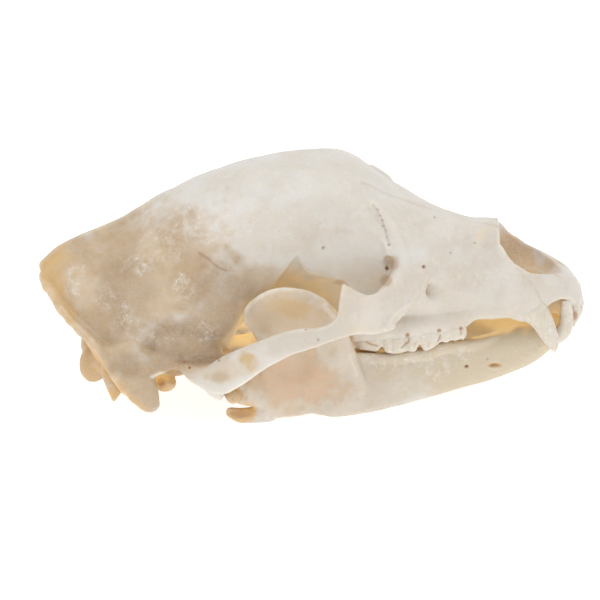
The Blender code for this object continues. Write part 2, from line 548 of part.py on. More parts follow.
def occlusal(x, y):
    """Height of the surface where the cheek teeth close, higher towards the tongue."""
    return OCCLUSAL_HEIGHT + OCCLUSAL_SLOPE * x + OCCLUSAL_TILT * (OUTER_EDGE - abs(y))


def cheek_tooth(name, x, y, length, width, height, cusps, upward, around=CROWN_POINTS):
    """Crown of a cheek tooth: a rounded block with low cusps along its outer edge."""
    rings = []
    turn = -1 if upward else 1
    outer = math.copysign(1, -y if upward else y)
    for share, swell in ((-TOOTH_ROOT / height, ROOT_SWELL),) + CROWN_LEVELS:
        ring = []
        for k in range(around):
            angle = 2 * math.pi * (k + 0.5) / around
            along_x = math.copysign(abs(math.cos(angle)) ** CROWN_SQUARENESS, math.cos(angle))
            along_y = math.copysign(abs(math.sin(angle)) ** CROWN_SQUARENESS, math.sin(angle))
            px = x + 0.5 * length * swell * along_x
            py = y + 0.5 * width * swell * along_y
            outside = 0.5 + 0.5 * along_y * outer
            bite = 0.5 + 0.5 * math.cos(2 * math.pi * cusps * (px - x) / length + math.pi * (cusps + 1))
            lift = height * share - CUSP_DEPTH * (1 - bite * outside) * max(share, 0) ** 2
            ring.append((px, py, occlusal(px, py) + turn * (height - lift + TOOTH_GAP)))
        rings.append(ring)
    return closed_mesh(name, rings)


def canine(name, points, sizes):
    """Curved tapering tooth, narrower across the jaw than along it."""
    return swept(name, points, sizes, [size * CANINE_FLATNESS for size in sizes], up=CANINE_UP,
                 count=CANINE_RINGS, around=CANINE_POINTS)


def incisor(name, root, tip, wide, deep):
    """Small tooth that widens to a blunt edge."""
    middle = [(a + b) / 2 for a, b in zip(root, tip)]
    return swept(name, [root, middle, tip], [wide * share for share in INCISOR_WIDTHS],
                 [deep * share for share in INCISOR_DEPTHS], up=(0, 1, 0), count=INCISOR_RINGS,
                 around=INCISOR_POINTS)


def upper_teeth():
    """Upper teeth of both sides, each crown with its root in the bone."""
    teeth = []
    for side in SIDES:
        for name, x, y, length, width, height, cusps in UPPER_CHEEK:
            teeth.append(cheek_tooth(name, x, y * side, length, width, height, cusps, upward=False))
        teeth.append(canine("upper_canine", mirrored(UPPER_CANINE, side), UPPER_CANINE_SIZE))
        for root, tip, wide, deep in UPPER_INCISORS:
            root, tip = mirrored([root, tip], side)
            teeth.append(incisor("upper_incisor", root, tip, wide, deep))
    return teeth


def grown(sizes):
    """Sizes with the room that a bone needs round another."""
    return [size + SOCKET_CLEARANCE for size in sizes]


def socket_groove(side):
    """Cutter for the groove that holds a jaw condyle."""
    return swept("groove", mirrored(CONDYLE_AXIS, side), grown(CONDYLE_SIZE), grown(CONDYLE_SIZE))


def neck_groove(side):
    """Cutter that keeps the cranium clear of a condyle's neck."""
    return swept("neck_groove", mirrored(CONDYLE_NECK, side), grown(NECK_HALF_HEIGHT),
                 grown(NECK_HALF_THICKNESS))


def build_cranium():
    """Cranium as one bone with its teeth."""
    body = cranium_core()
    combine(body, orbit_hollows(), "DIFFERENCE")
    combine(body, cranium_pieces(), "UNION")
    combine(body, cranium_hollows(), "DIFFERENCE")
    soften(body, VOXEL, CRANIUM_PASSES)
    keep_largest(body)
    for centre, reach, passes in EASED_ZONES:
        ease_round(body, centre, reach, passes)
    thin_out(body, CRANIUM_BONE_FACES)
    combine(body, [socket_groove(side) for side in SIDES], "DIFFERENCE")
    combine(body, [neck_groove(side) for side in SIDES], "DIFFERENCE")
    combine(body, upper_teeth(), "UNION")
    keep_largest(body)
    return body


def middle_block(reach):
    """Cutter for what would pass a plane beside the middle one at the chin."""
    low, high = CHIN_BLOCK
    return block("past_middle", low, (high[0], reach, high[2]))


def jaw_bone():
    """Left half of the lower jaw without its teeth."""
    body = upright("mandible_left", np.linspace(JAW_REAR, JAW_FRONT, JAW_RINGS), JAW_TOP, JAW_BOTTOM,
                   JAW_SIDE, JAW_HALF_THICKNESS, JAW_FULLNESS, JAW_LEAN)
    pieces = [upright("ramus", np.linspace(RAMUS_REAR, RAMUS_FRONT, RAMUS_RINGS), RAMUS_TOP, RAMUS_BOTTOM,
                      RAMUS_SIDE, RAMUS_HALF_THICKNESS, RAMUS_FULLNESS)]
    pieces.append(swept("condyle", CONDYLE_AXIS, CONDYLE_SIZE, CONDYLE_SIZE))
    pieces.append(swept("condyle_neck", CONDYLE_NECK, NECK_HALF_HEIGHT, NECK_HALF_THICKNESS))
    pieces.append(swelling(RAMUS_BACK))
    pieces += [bar(entry) for entry in JAW_BARS]
    combine(body, pieces, "UNION")
    hollows = [swelling(MASSETER_FOSSA), middle_block(FIRST_CUT)]
    combine(body, hollows, "DIFFERENCE")
    return body


def lower_teeth():
    """Lower teeth of the left side."""
    teeth = []
    for name, x, y, length, width, height, cusps in LOWER_CHEEK:
        teeth.append(cheek_tooth(name, x, y, length, width, height, cusps, upward=True))
    teeth.append(canine("lower_canine", LOWER_CANINE, LOWER_CANINE_SIZE))
    for root, tip, wide, deep in LOWER_INCISORS:
        teeth.append(incisor("lower_incisor", root, tip, wide, deep))
    return teeth


def build_jaw():
    """Both halves of the lower jaw, the right one a mirror image of the left."""
    left = jaw_bone()
    soften(left, VOXEL, JAW_PASSES)
    keep_largest(left)
    thin_out(left, JAW_BONE_FACES)
    combine(left, lower_teeth(), "UNION")
    below_floor = block("below_floor", *FLOOR_BLOCK)
    combine(left, [below_floor, middle_block(SYMPHYSIS_HALF_GAP)], "DIFFERENCE")
    keep_largest(left)
    mesh = left.data.copy()
    mesh.transform(Matrix.Scale(-1, 4, (0, 1, 0)))
    mesh.flip_normals()
    right = bpy.data.objects.new("mandible_right", mesh)
    model.objects.link(right)
    return left, right


def finish(piece, colour):
    """Give a bone its own plain material and shading."""
    material = bpy.data.materials.new(piece.name + "_bone")
    material.use_nodes = True
    shader = material.node_tree.nodes["Principled BSDF"]
    shader.inputs["Base Color"].default_value = colour
    shader.inputs["Roughness"].default_value = BONE_ROUGHNESS
    shader.inputs["Metallic"].default_value = 0.0
    piece.data.materials.clear()
    piece.data.materials.append(material)
    piece.data.shade_smooth()
    piece.data.set_sharp_from_angle(angle=math.radians(SHARP_ANGLE))


for old in list(bpy.data.objects):
    bpy.data.objects.remove(old, do_unlink=True)
model = bpy.data.collections.new("black_bear_skull")
bpy.context.scene.collection.children.link(model)

skull = build_cranium()
jaw_left, jaw_right = build_jaw()
finish(skull, BONE_COLOUR)
finish(jaw_left, JAW_COLOUR)
finish(jaw_right, JAW_COLOUR)
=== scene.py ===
"""Looks of the black bear skull: fine bone, teeth, surface detail, materials, light and camera.

Sizes are in millimetres until a mesh is made. The nose points along +X, the skull's left side is
+Y and the floor is z = 0. Surface detail is placed by its distance along the skull and by its
height as seen from a little above, where a point further out to the side looks lower.
"""
import math
import bmesh
import bpy
import numpy as np
from mathutils import Matrix, Vector
from mathutils.bvhtree import BVHTree


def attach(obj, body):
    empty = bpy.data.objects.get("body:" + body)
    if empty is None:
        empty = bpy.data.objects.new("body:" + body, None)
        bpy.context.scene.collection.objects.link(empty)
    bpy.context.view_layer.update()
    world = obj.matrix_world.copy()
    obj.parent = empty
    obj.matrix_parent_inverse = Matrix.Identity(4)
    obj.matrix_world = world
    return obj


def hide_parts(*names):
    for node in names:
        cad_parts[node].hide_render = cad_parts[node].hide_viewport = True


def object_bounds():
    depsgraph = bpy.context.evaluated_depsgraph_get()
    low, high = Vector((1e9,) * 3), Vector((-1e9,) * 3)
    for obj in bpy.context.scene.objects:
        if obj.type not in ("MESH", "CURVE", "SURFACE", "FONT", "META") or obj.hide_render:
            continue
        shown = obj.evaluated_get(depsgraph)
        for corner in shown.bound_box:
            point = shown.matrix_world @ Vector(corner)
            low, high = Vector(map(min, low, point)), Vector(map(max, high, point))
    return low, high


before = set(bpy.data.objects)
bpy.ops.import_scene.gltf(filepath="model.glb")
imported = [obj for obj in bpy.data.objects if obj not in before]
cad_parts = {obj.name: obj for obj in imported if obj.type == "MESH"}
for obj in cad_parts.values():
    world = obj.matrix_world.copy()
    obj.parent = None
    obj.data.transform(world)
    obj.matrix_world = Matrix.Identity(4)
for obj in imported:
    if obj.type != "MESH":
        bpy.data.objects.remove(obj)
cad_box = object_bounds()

MM = 0.001
SIDES = (1, -1)             # left, right
UPWARD, FORWARD = (0, 0, 1), (1, 0, 0)

# Driving sizes
SYMPHYSIS_HALF_GAP = 0.15   # each jaw half stops this far from the middle plane
SYMPHYSIS_EASE = 0.2        # how far easing draws that face back
OCCLUSAL_SLOPE = 0.129      # rise of the tooth row for each unit of length, nose up
OCCLUSAL_HEIGHT = 26.2      # height of the tooth row's outer edge at x = 0
OCCLUSAL_TILT = 0.2         # rise of the biting surface towards the tongue
OUTER_EDGE = 35             # distance of that outer edge from the middle plane
VOXEL = 0.75
TOOTH_VOXEL = 0.36
EASE_PASSES = 8
TOOTH_EASE_PASSES = 9
OPENNESS_SPREAD = 36
RING_POINTS = 72
CORE_RING_POINTS = 120
END_CAPS = ((0.8, 0.55), (0.35, 0.9))       # a bar's rounded end: size and reach of its two last rings
HASH = np.array([73856093, 19349663, 83492791])      # mixes three cell numbers into one
VIEW_TILT = math.radians(18)                # how far above the horizontal the camera looks from
SOCKET_CLEARANCE = 0.6                      # room round the jaw's condyles

# Cranium core: profiles along the skull, each a list of (place along X, value)
ROOF = [
    (-137, 65.5), (-125, 76), (-107, 84.3), (-89, 93.8), (-71, 106.4), (-53, 114.4), (-35, 120.4),
    (-17, 124), (0, 125.4), (12, 124.7), (22, 121), (32, 114.5), (44, 107.8), (56, 100.8), (68, 95.3),
    (80, 92.5), (92, 91.2), (96, 89), (99, 83.8), (105, 77.8), (111, 72.8), (122, 66.8), (131, 61.8),
    (137.5, 54),
]
BASE = [
    (-137, 62), (-132, 58), (-126, 52), (-120, 45.5), (-114, 38), (-108, 27), (-102, 21), (-80, 23),
    (-60, 26.5), (-46, 28.5), (-40, 33.5), (-36, 41), (-31, 46), (-24, 46), (-10, 43), (5, 40.5), (20, 41),
    (50, 44.5), (80, 48.5), (110, 51.5), (130, 50), (137, 49),
]
HALF_WIDTH = [
    (-137, 5), (-132, 13), (-126, 26), (-120, 35), (-112, 41.5), (-100, 45), (-80, 45.5), (-60, 47.5),
    (-42, 47), (-22, 42), (-8, 37.5), (5, 35.5), (17, 36.5), (28, 38), (36, 40.5), (42, 41), (48, 40),
    (55, 37.5), (62, 34.5), (76, 30), (92, 26.5), (106, 27), (118, 26.2), (126, 22.8), (132, 17.5),
    (137.5, 8),
]
WIDEST_AT = [
    (-137, 64), (-132, 60), (-126, 52), (-120, 47), (-112, 43), (-100, 38), (-80, 46), (-60, 55),
    (-40, 60), (-22, 70), (-8, 86), (5, 96), (17, 100), (28, 95), (36, 85), (42, 80), (48, 77), (55, 72),
    (62, 66), (76, 59), (100, 56), (137, 53),
]
UPPER_FULLNESS = [
    (-137, 2), (-110, 1.4), (-80, 1.55), (-60, 1.85), (-40, 2), (-20, 2.2), (0, 2.4), (15, 2.6),
    (28, 2.3), (38, 2), (50, 1.9), (70, 1.9), (92, 2.2), (99, 4), (105, 5), (113, 5), (125, 4.4),
    (137, 2.2),
]
LOWER_FULLNESS = [
    (-137, 2), (-110, 3.2), (-80, 3), (-50, 2.6), (-30, 2.6), (-12, 2.8), (2, 3.2), (28, 3.2), (42, 3),
    (48, 3), (70, 4.5), (110, 4.5), (137, 2),
]

# Cheek arch: profiles along the skull of its two edges, its middle and its half thickness
ARCH_TOP = [
    (-70, 36), (-60, 34), (-52, 34.5), (-45, 40), (-37, 46.3), (-24.6, 53.6), (-16.8, 57.2), (-4.5, 59.6),
    (3.9, 59.4), (9, 60.6), (12, 63), (13.6, 67), (14.3, 73), (15, 78.4), (17.4, 79), (22, 75.4),
    (28.8, 71.2), (36, 72.6), (44, 77),
]
ARCH_BOTTOM = [
    (-70, 28), (-60, 25), (-52, 22), (-43.4, 22), (-33.7, 29.6), (-24.6, 37.4), (-7.7, 47), (2.6, 49.6),
    (14.3, 52), (22, 52.2), (33.3, 49.4), (44, 49),
]
ARCH_SIDE = [
    (-70, 52.5), (-60, 57), (-48, 65), (-38, 73), (-26, 79), (-13, 80.5), (2, 78), (14, 72), (28, 61.5),
    (36, 53), (44, 44.5),
]
ARCH_HALF_THICKNESS = [
    (-70, 5), (-60, 6), (-48, 5.2), (-38, 3.6), (-26, 2.8), (-13, 2.6), (2, 2.5), (14, 2.5), (28, 3.2),
    (36, 4.4), (44, 5),
]

# Bars and balls of the left side. A bar is its name, points, half heights and half thicknesses, and
# where they aren't the usual ones the direction of its height, its fullness and its counts of rings
# and of points round each. A ball is its name, centre, radii and turn.
CRESTS = [
    ("nuchal_crest",
     [(-133.2, 2, 61.5), (-131, 13, 59.5), (-126, 24, 54.5), (-119.5, 35, 49), (-111.5, 44, 43.5),
      (-105, 49.5, 38), (-98.5, 53, 29), (-92, 55, 20)],
     [4.4, 3, 2.6, 2.6, 2.6, 2.8, 3.2, 3.8], [3.6, 4.4, 5.4, 6, 6, 6, 6.4, 7], (1, 0, 0.9), 2.5),
    ("mastoid", [(-96, 48, 36), (-88.5, 52.5, 25.5), (-82.5, 55, 16), (-80, 56, 11.2)],
     [11, 9.5, 7, 4.8], [7, 6, 5, 3.6], (1, 0, 0.4)),
    ("jugular_process", [(-99, 37, 26), (-98.6, 40.5, 16), (-99, 42, 9.4)],
     [7, 4.8, 1.5], [4.4, 2.8, 1.3], FORWARD),
    ("occipital_condyle", (-108.6, 16.5, 21.4), (8, 9, 10.6), (20, 20, 0)),
    ("condyle_root", (-103, 17, 24), (10, 12, 9)),
]
JAW_SOCKETS = [
    ("socket", [(-45, 33, 30), (-44, 46, 28.5), (-43.5, 58, 27), (-43, 67, 26)],
     [4.6, 5, 5, 4], [6, 7, 7, 5.6]),
    ("stop", [(-46.5, 40, 23), (-47, 50, 21), (-46, 62, 20)], [6, 5.4, 4.4], [2.6, 2.6, 2.4]),
    ("stop_root", [(-62, 57, 31), (-53, 60, 26.5), (-46.5, 61, 21)], [2.6, 4, 4.6], [6, 6.5, 5]),
    ("shelf", [(-42, 50, 31), (-54, 49, 32), (-70, 49, 32), (-84, 50, 31), (-96, 49, 33)],
     [4, 4, 4.6, 6.5, 7], [12, 11, 8, 7, 7]),
    ("fossa_floor", [(-48, 42, 37), (-58, 43, 38), (-72, 44, 40)], [4, 7, 8], [7, 10, 9]),
    ("bulla", (-72, 27, 24.5), (14, 13, 6.5), (0, 0, 25)),
    ("ear_tube", (-73.4, 43, 19.8), (6.2, 7, 5)),
]
CHEEK = [
    ("cheek_root",
     [(64, 26.5, 80), (57, 31, 77.5), (50, 36, 71.5), (44, 42, 66.5), (39, 47, 61.8), (32, 55, 59)],
     [3, 6, 10, 11, 10.8, 9.4], [3, 4, 5, 5.2, 5, 4.4], UPWARD, 2.6),
    ("orbit_rim",
     [(30, 30.5, 109), (38, 33.5, 101), (42.8, 36, 91), (45.3, 37.8, 84.5), (45.3, 41.5, 77.5),
      (41, 47.5, 71)],
     [2.6, 3.4, 3.8, 4, 4, 3.8], [2.6, 3.4, 3.8, 4, 4, 3.8], (0, 1, 0.2)),
]
ORBIT = [
    ("orbit", [(25, 58, 64), (25, 58, 71), (24.7, 58, 78), (24.7, 58, 85), (26.5, 58, 91), (28, 58, 98)],
     [14, 16, 16.7, 16.7, 12.5, 7], [24.5, 24, 23.2, 22.4, 21.5, 20], FORWARD, 5, 48, 60),
]
HOLLOWS = [
    ("lacrimal_pit", (38.8, 38, 80.6), (2.6, 5, 4.2), (0, 8, 0)),
    ("orbit_corner", (36.6, 41, 71.8), (4.4, 6, 4.6), (0, 8, 0)),
    ("canine_notch", (124.5, 21.5, 48.5), (8.5, 8.2, 8)),
    ("infraorbital", [(70, 38.5, 62.5), (62, 34.6, 64.5), (55, 32, 66)],
     [5.2, 4.8, 3], [3.2, 2.6, 1.6], UPWARD, 2, 16),
    ("ear_opening", (-66, 50, 25.5), (7, 13, 4.4), (8, 0, 0)),
]
REAR_HOLLOWS = [
    ("choana", [(-34, 0, 34), (-20, 0, 41), (-4, 0, 46.5), (16, 0, 51)], [6, 5.5, 5, 4], [9, 9.5, 9, 7]),
    ("brain_opening", [(-128, 0, 30), (-112, 0, 29.5), (-100, 0, 33), (-84, 0, 41)],
     [11, 8.5, 9, 9], [14, 10.5, 11, 11]),
]
# Pocket below and behind each orbit: height, rear edge, front edge and distance of its inner wall
POCKET = [
    (26, -38, 21.5, 27), (32, -42.5, 21.8, 27), (45.6, -38.8, 22.6, 27), (56.8, -33.4, 22.2, 28),
    (61.8, -29.3, 21.6, 28.5), (65, -23.5, 20.6, 29), (68, -19.2, 18.4, 30), (70.2, -17.6, 14.6, 31),
    (71.8, -16.6, 6, 32), (73.6, -15.6, -0.2, 33), (76, -13.6, -2.8, 34), (80, -10.5, -4.8, 35.2),
    (84.5, -6.9, -6.1, 36.8),
]
POCKET_OUTER = 93
POCKET_FULLNESS = 9
NOSE_TOP = [(60, 78), (75, 84), (88, 87), (97, 86)]
NOSE_BOTTOM = [
    (60, 62), (80, 56), (96, 54), (108, 56), (116, 59), (122, 61.5), (127, 64), (130, 66), (150, 86),
]
NOSE_HALF_WIDTH = [
    (60, 9), (76, 14.5), (90, 16), (94, 18), (98, 21.4), (103.5, 24), (109, 24), (114.6, 21.6),
    (120, 16.5), (124, 12), (128, 8), (134, 6), (150, 5),
]
NOSE_FRONT_TOP = [(60, 110), (150, 112)]
MIDDLE = [(60, 0), (150, 0)]
SEPTUM_TOP = [(60, 72), (90, 69), (104, 66), (112, 62.5)]
SEPTUM_BOTTOM = [(60, 50), (112, 50)]
SEPTUM_HALF = [(60, 1.2), (112, 1)]
SCROLLS = [
    ("scroll", [(84, 8, 57), (94, 8.6, 58.4), (104, 9, 59.2), (111, 9, 59.2), (118, 8, 58)],
     [4, 4.4, 4.4, 4, 2], [3.2, 4, 4.4, 4, 2]),
]
CONDYLE_AXIS = [(-38.5, 42, 19.6), (-39.5, 52, 18.6), (-39, 63, 18.2)]
CONDYLE_SIZE = [3.8, 5, 3.6]
CONDYLE_NECK = [(-39, 53, 17.2), (-32, 51, 16), (-25, 50, 18), (-16, 48.5, 22)]
NECK_HALF_HEIGHT = [4.4, 6.6, 11.5, 14]
NECK_HALF_THICKNESS = [6, 3.6, 2.8, 2.2]
# Zones of the cranium that are eased more: centre, reach and passes
EASED_ZONES = [
    ((-74, 50, 42), 34, 40), ((-46, 44, 44), 16, 30), ((-98, 50, 36), 22, 20), ((56, 34, 52), 13, 40),
    ((54, 34, 76), 20, 40), ((38, 40, 92), 14, 8), ((100, 24, 60), 16, 12), ((2, 36, 73), 10, 20),
    ((58, 33, 62), 10, 20), ((34, 50, 69), 10, 30),
]

# Lower jaw: profiles along one half, seen from the side and from above
JAW_TOP = [
    (-12, 20), (0, 25), (12, 28), (30, 29.4), (46, 31.4), (60, 33), (72, 33.8), (80, 34.2), (87, 34.8),
    (94, 36.6), (104, 39.5), (114, 41), (122, 41.5), (128, 40.5), (132, 38.5),
]
JAW_BOTTOM = [
    (-12, 2.2), (-4, 3.2), (4, 1.5), (11, -0.5), (20, -0.3), (32, 0.5), (44, 2.3), (56, 4.7), (68, 7.1),
    (80, 9.6), (92, 12), (104, 16), (114, 21), (122, 27.5), (128, 32.5), (132, 37),
]
JAW_SIDE = [
    (-12, 45.5), (0, 42), (12, 38.5), (30, 32.5), (50, 26.5), (70, 21), (85, 16.5), (98, 12.5),
    (108, 10.5), (118, 9.2), (126, 8), (132, 7),
]
JAW_HALF_THICKNESS = [
    (-12, 3), (0, 4.6), (12, 5.8), (30, 6.4), (60, 6.3), (80, 6.6), (95, 8), (106, 10.3), (118, 10.3),
    (126, 9), (132, 6),
]
RAMUS_TOP = [
    (-34.5, 57), (-32.5, 61.5), (-27, 67), (-20, 70.3), (-12, 71), (-4, 69.3), (4, 65), (11, 59), (17, 49),
    (20.5, 38), (25, 28),
]
RAMUS_BOTTOM = [
    (-34.5, 55), (-31, 50), (-28, 45.5), (-26, 38), (-25, 22), (-24, 9), (-20, 3.6), (-12, 2.4), (0, 3),
    (25, 4),
]
RAMUS_SIDE = [(-34.5, 51.5), (-20, 49.5), (-5, 46), (10, 41.5), (18, 39.5), (25, 35.5)]
RAMUS_HALF_THICKNESS = [(-34.5, 1.6), (-28, 2.4), (-10, 2.7), (10, 3.2), (25, 4)]
JAW_PARTS = [
    ("condyle", CONDYLE_AXIS, CONDYLE_SIZE, CONDYLE_SIZE),
    ("condyle_neck", CONDYLE_NECK, NECK_HALF_HEIGHT, NECK_HALF_THICKNESS),
    ("ramus_back", (-24, 48.5, 14.5), (7, 3, 10)),
    ("angle", [(-20, 47.5, 5), (-28, 48, 3.6), (-35, 48.3, 3.6), (-41, 48.5, 5.6)],
     [5, 4.9, 4.2, 2.6], [3.2, 3, 2.8, 2]),
    ("ramus_edge", [(24, 36.5, 14), (20, 40, 30), (14.5, 42, 47), (7, 44, 60)],
     [5, 3.4, 2.8, 2.2], [4.4, 3.2, 2.8, 2.4], FORWARD),
    ("tooth_edge",
     [(22, 33.6, 28.8), (30, 31.8, 28.2), (41, 29.8, 27.2), (50, 28, 28.4), (58, 26.4, 29),
      (66, 24.6, 31.6), (74, 22.6, 31.6), (84, 20, 31.4), (94, 17.2, 34.4)],
     [3] * 8 + [2], [2.4] * 8 + [1.8], UPWARD, 2.6),
]
# Hollow in each branch's outer side, for the left one: centre, radii and turn
MASSETER_FOSSA = ((-3, 66, 30), (27, 19.5, 21), (0, 0, -14))
JAW_GRAIN = 0.9             # grain of the jaw over that of the cranium
FLOOR_CUT = 0.05            # the jaw is cut off flat this far above the floor
JAW_EASED_ZONE = ((22, 38, 12), 13, 30)
JAW_LEAN = [(-12, 0), (10, 2.5), (30, 4), (60, 3), (90, 0.5), (100, 0)]

# Outer row of the upper cheek teeth: cutting edge, middle and half thickness along the skull
UPPER_ROOT = [(20, 41.5), (48, 43.6), (64, 45.2), (80, 46.6)]
UPPER_CROWNS = [
    ("M2", [(20.6, 37), (21.6, 34.6), (23.6, 32.8), (27, 32.2), (30.6, 32), (33.6, 32.2), (35.6, 34.4),
            (37.4, 31.8), (41.4, 30.9), (45, 31.2), (48.6, 32)],
     [(20.6, 28.4), (30, 30), (38, 31), (48, 31.2)],
     [(20.6, 1.4), (22.4, 3.1), (29, 4), (33.6, 4.1), (35.6, 3.5), (37.6, 4), (42, 4.1), (46.3, 3.8),
      (48.6, 1.8)]),
    ("M1", [(47.2, 32.2), (49.6, 32), (52.6, 32.4), (54.5, 35.6), (56.3, 32.8), (59.4, 32.9),
            (62, 34.4), (65.2, 36.6)],
     [(47.2, 31.2), (56, 31.2), (65.2, 30.6)],
     [(47.2, 1.8), (49.5, 3.6), (52, 3.9), (54.5, 3.3), (57, 3.9), (61, 3.8), (63.3, 3.2), (65.2, 1.7)]),
    ("P4", [(63.6, 37), (66, 36.6), (68.4, 36.4), (70.6, 37.2), (72.6, 37), (75.6, 38.2)],
     [(63.6, 30.4), (75.6, 28.8)],
     [(63.6, 1.6), (66, 2.9), (68.6, 3.4), (72, 3.2), (74, 2.4), (75.6, 1.4)]),
    ("P3", [(74.6, 38.4), (76.6, 37), (78.2, 39.6)], [(74.6, 28.4), (78.2, 28)],
     [(74.6, 1.1), (76.7, 1.9), (78.2, 0.9)]),
]
# Inner lobes and lower teeth: place along X, side, half length, half width, crown height and how
# far the tip passes the surface where the teeth close
UPPER_LOBES = [
    (36.5, 26, 9.5, 5.2, 7.6, 0), (30, 27, 7, 4.6, 7.6, 0), (51.6, 26, 4.6, 5, 7.8, 0.3),
    (59.6, 26, 4.6, 5, 7.8, 0.3), (70, 25.6, 3.8, 3.2, 7, 0),
]
LOWER_LOBES = [
    (24.5, 25.2, 6.4, 4.4, 5.4, 0), (36, 23.6, 5.2, 4.4, 6, 0), (45, 22.8, 5.2, 4.4, 6.4, 0),
    (55.6, 21.6, 4.8, 3.8, 6.4, 0), (64.2, 20.6, 4.8, 3.6, 6.8, 0), (73.4, 19.6, 4.2, 2.4, 5.8, 0),
]
UPPER_CANINE = [
    (105.8, 23.4, 58.2), (109, 24.4, 54.6), (112, 25.2, 51), (115.3, 26, 47.2), (118, 26.7, 42.4),
    (120.5, 27.2, 37.3), (122.1, 27.2, 33.1), (122.3, 27, 30),
]
UPPER_CANINE_SIZE = [5.4, 7.2, 7, 6, 5.1, 4, 2.6, 0.8]
CANINE_SOCKET = [(94, 19, 70), (100, 21, 64.5), (105, 22.9, 59.6), (109.4, 24.4, 55)]
CANINE_SOCKET_SIZE = [4, 6, 7.8, 8.4]
LOWER_CANINE = [
    (112, 12, 30), (119, 15, 32), (124.4, 17.4, 35), (127.4, 18.8, 39.5), (128.5, 19.3, 44),
    (128.4, 19.5, 49), (128, 19.6, 53.6),
]
LOWER_CANINE_SIZE = [2.6, 4.2, 4.8, 4.1, 3.5, 3.3, 2.8]
# Incisors of one side as (place along X, side, crown height, half width)
UPPER_INCISORS = [(135.4, 2.6, 7.9, 2.3), (134.9, 7.6, 7.9, 2.4), (133.6, 12.8, 8.2, 2.8)]
LOWER_INCISORS = [(130.2, 2.3, 0.2, 1.8), (129.6, 6.2, 0.4, 2), (128.2, 10.2, 0.6, 2.1)]
CANINE_FLATNESS = 0.72     # width of a canine over its depth along the jaw
SOCKET_FLATNESS = 0.8      # the same for the bone round an upper canine's root
TOOTH_ROOT = 5.0           # how far a cheek tooth runs into the bone
TOOTH_GAP = 0.2            # half the room between upper and lower cheek teeth
LOBE_SHAPE = [(0, 0.94), (0.3, 1), (0.6, 0.97), (0.8, 0.84), (0.93, 0.58), (1, 0.2)]

PALATE = [
    ("tooth_edge",
     [(20, 28, 42.3), (40, 29, 44.2), (60, 28, 45.4), (74, 25.8, 47.4), (80.5, 24.6, 50.4), (92, 23, 51),
      (104, 24, 52)],
     [6.3, 6.3, 6, 5.5, 4.2, 4.6, 4.4], [6.8, 7.2, 7.3, 5.8, 4.6, 4, 4], UPWARD, 2.6),
    ("canine_swelling", (104, 22.5, 57), (14, 8.2, 11), (0, 36, 0)),
    ("canine_socket", CANINE_SOCKET, CANINE_SOCKET_SIZE,
     [size * SOCKET_FLATNESS for size in CANINE_SOCKET_SIZE], (1, 0, 0.6)),
    ("pterygoid", [(12, 15, 42), (0, 14, 39), (-10, 13, 36), (-19, 13, 32)],
     [8, 9, 8, 2.4], [2.4, 2, 1.9, 1.7]),
    *[("jugum", [(x - 6, y * 0.9, 60), (x - 1.4, y * 0.97, 54), (x - 0.8, y, 49.4)],
       [1.6, wide * 0.8, wide * 0.85], [1.4, 2.4, 2.8], (0, 1, 0), 2, 14)
      for x, y, _, wide in UPPER_INCISORS],
    ("base_ridge", [(-17, 13, 35), (-30, 14, 31.5), (-46, 17, 30)], [5, 5, 4], [1.8, 1.8, 2.4]),
]
INCISOR_EDGE = [
    ("incisor_edge",
     [(117, -17, 51), (127.5, -13.5, 48.5), (133.8, -5, 47.5), (133.8, 5, 47.5), (127.5, 13.5, 48.5),
      (117, 17, 51)],
     [4, 4.6, 4.6, 4.6, 4.6, 4], [4, 3.6, 3.4, 3.4, 3.6, 4]),
]

SHRINK = 0.9975            # keeps the relief inside the model's box
BOX_MARGIN = 0.02
BOX_LOW, BOX_HIGH = (np.array(corner) / MM for corner in cad_box)

FLOOR_GLOW = 0.78
# Painted glow: emission that stands in for light in recesses and between teeth, no lamp; its strength and
# tone follow
RECESS_GLOW = 0.5
LIGHT_DEPTH = 4             # how far light spreads inside bone and enamel
GLOW_TONE = (240, 205, 135)
GAP_GLOW = 2                # glow of the gaps between teeth over their darkness
OPEN_GAP = (0.3, 0.7)       # a gap between teeth is dark where less of the room than this is seen

# Rays that tell how open each place is to the room, and how thick the bone is there
LIGHT_CELL = 1.8            # places this close together share their rays
RAY_COUNT = 64
RAYS_EACH = 8
RAY_START = 0.3
RAY_REACH = 120             # a place is open where nothing is hit this far out
THICKNESS_REACH = 20        # thicker bone counts as this thick

# Stage: the floor's radius and the lamp's size and places are in metres
FLOOR_RADIUS = 12
FLOOR_TONE = (0.6, 0.6, 0.6, 1)
FLOOR_ROUGHNESS = 0.9
WHITE = (1, 1, 1, 1)
SURROUND_STRENGTH = 0.76
LAMP_SIZE = 1.2
LAMP_ENERGY = 9
LAMP_PLACE = (0.1, -0.15, 1.6)
LAMP_FACING = (0.1, -0.15, 1.55)

# Camera: width of what it sees at the skull, and its aim from the middle of the skull's footprint
IMAGE_WIDTH = 303
CAMERA_DISTANCE = 5000
SENSOR = 36
AIM_RIGHT = -5.56
AIM_UP = 46.26


def along(knots, place):
    """Value at a place, or an array of places, on the smooth curve through (place, value) knots."""
    places = np.array([knot[0] for knot in knots], float)
    values = np.array([knot[1] for knot in knots], float)
    steps = np.diff(places)
    rises = np.diff(values) / steps
    slopes = np.empty_like(values)
    slopes[1:-1] = (rises[:-1] * steps[1:] + rises[1:] * steps[:-1]) / (steps[1:] + steps[:-1])
    slopes[0], slopes[-1] = rises[0], rises[-1]
    place = np.clip(place, places[0], places[-1])
    i = np.minimum(np.searchsorted(places, place, side="right") - 1, len(steps) - 1)
    t = (place - places[i]) / steps[i]
    return ((2 * t**3 - 3 * t**2 + 1) * values[i] + (t**3 - 2 * t**2 + t) * steps[i] * slopes[i]
            + (3 * t**2 - 2 * t**3) * values[i + 1] + (t**3 - t**2) * steps[i] * slopes[i + 1])


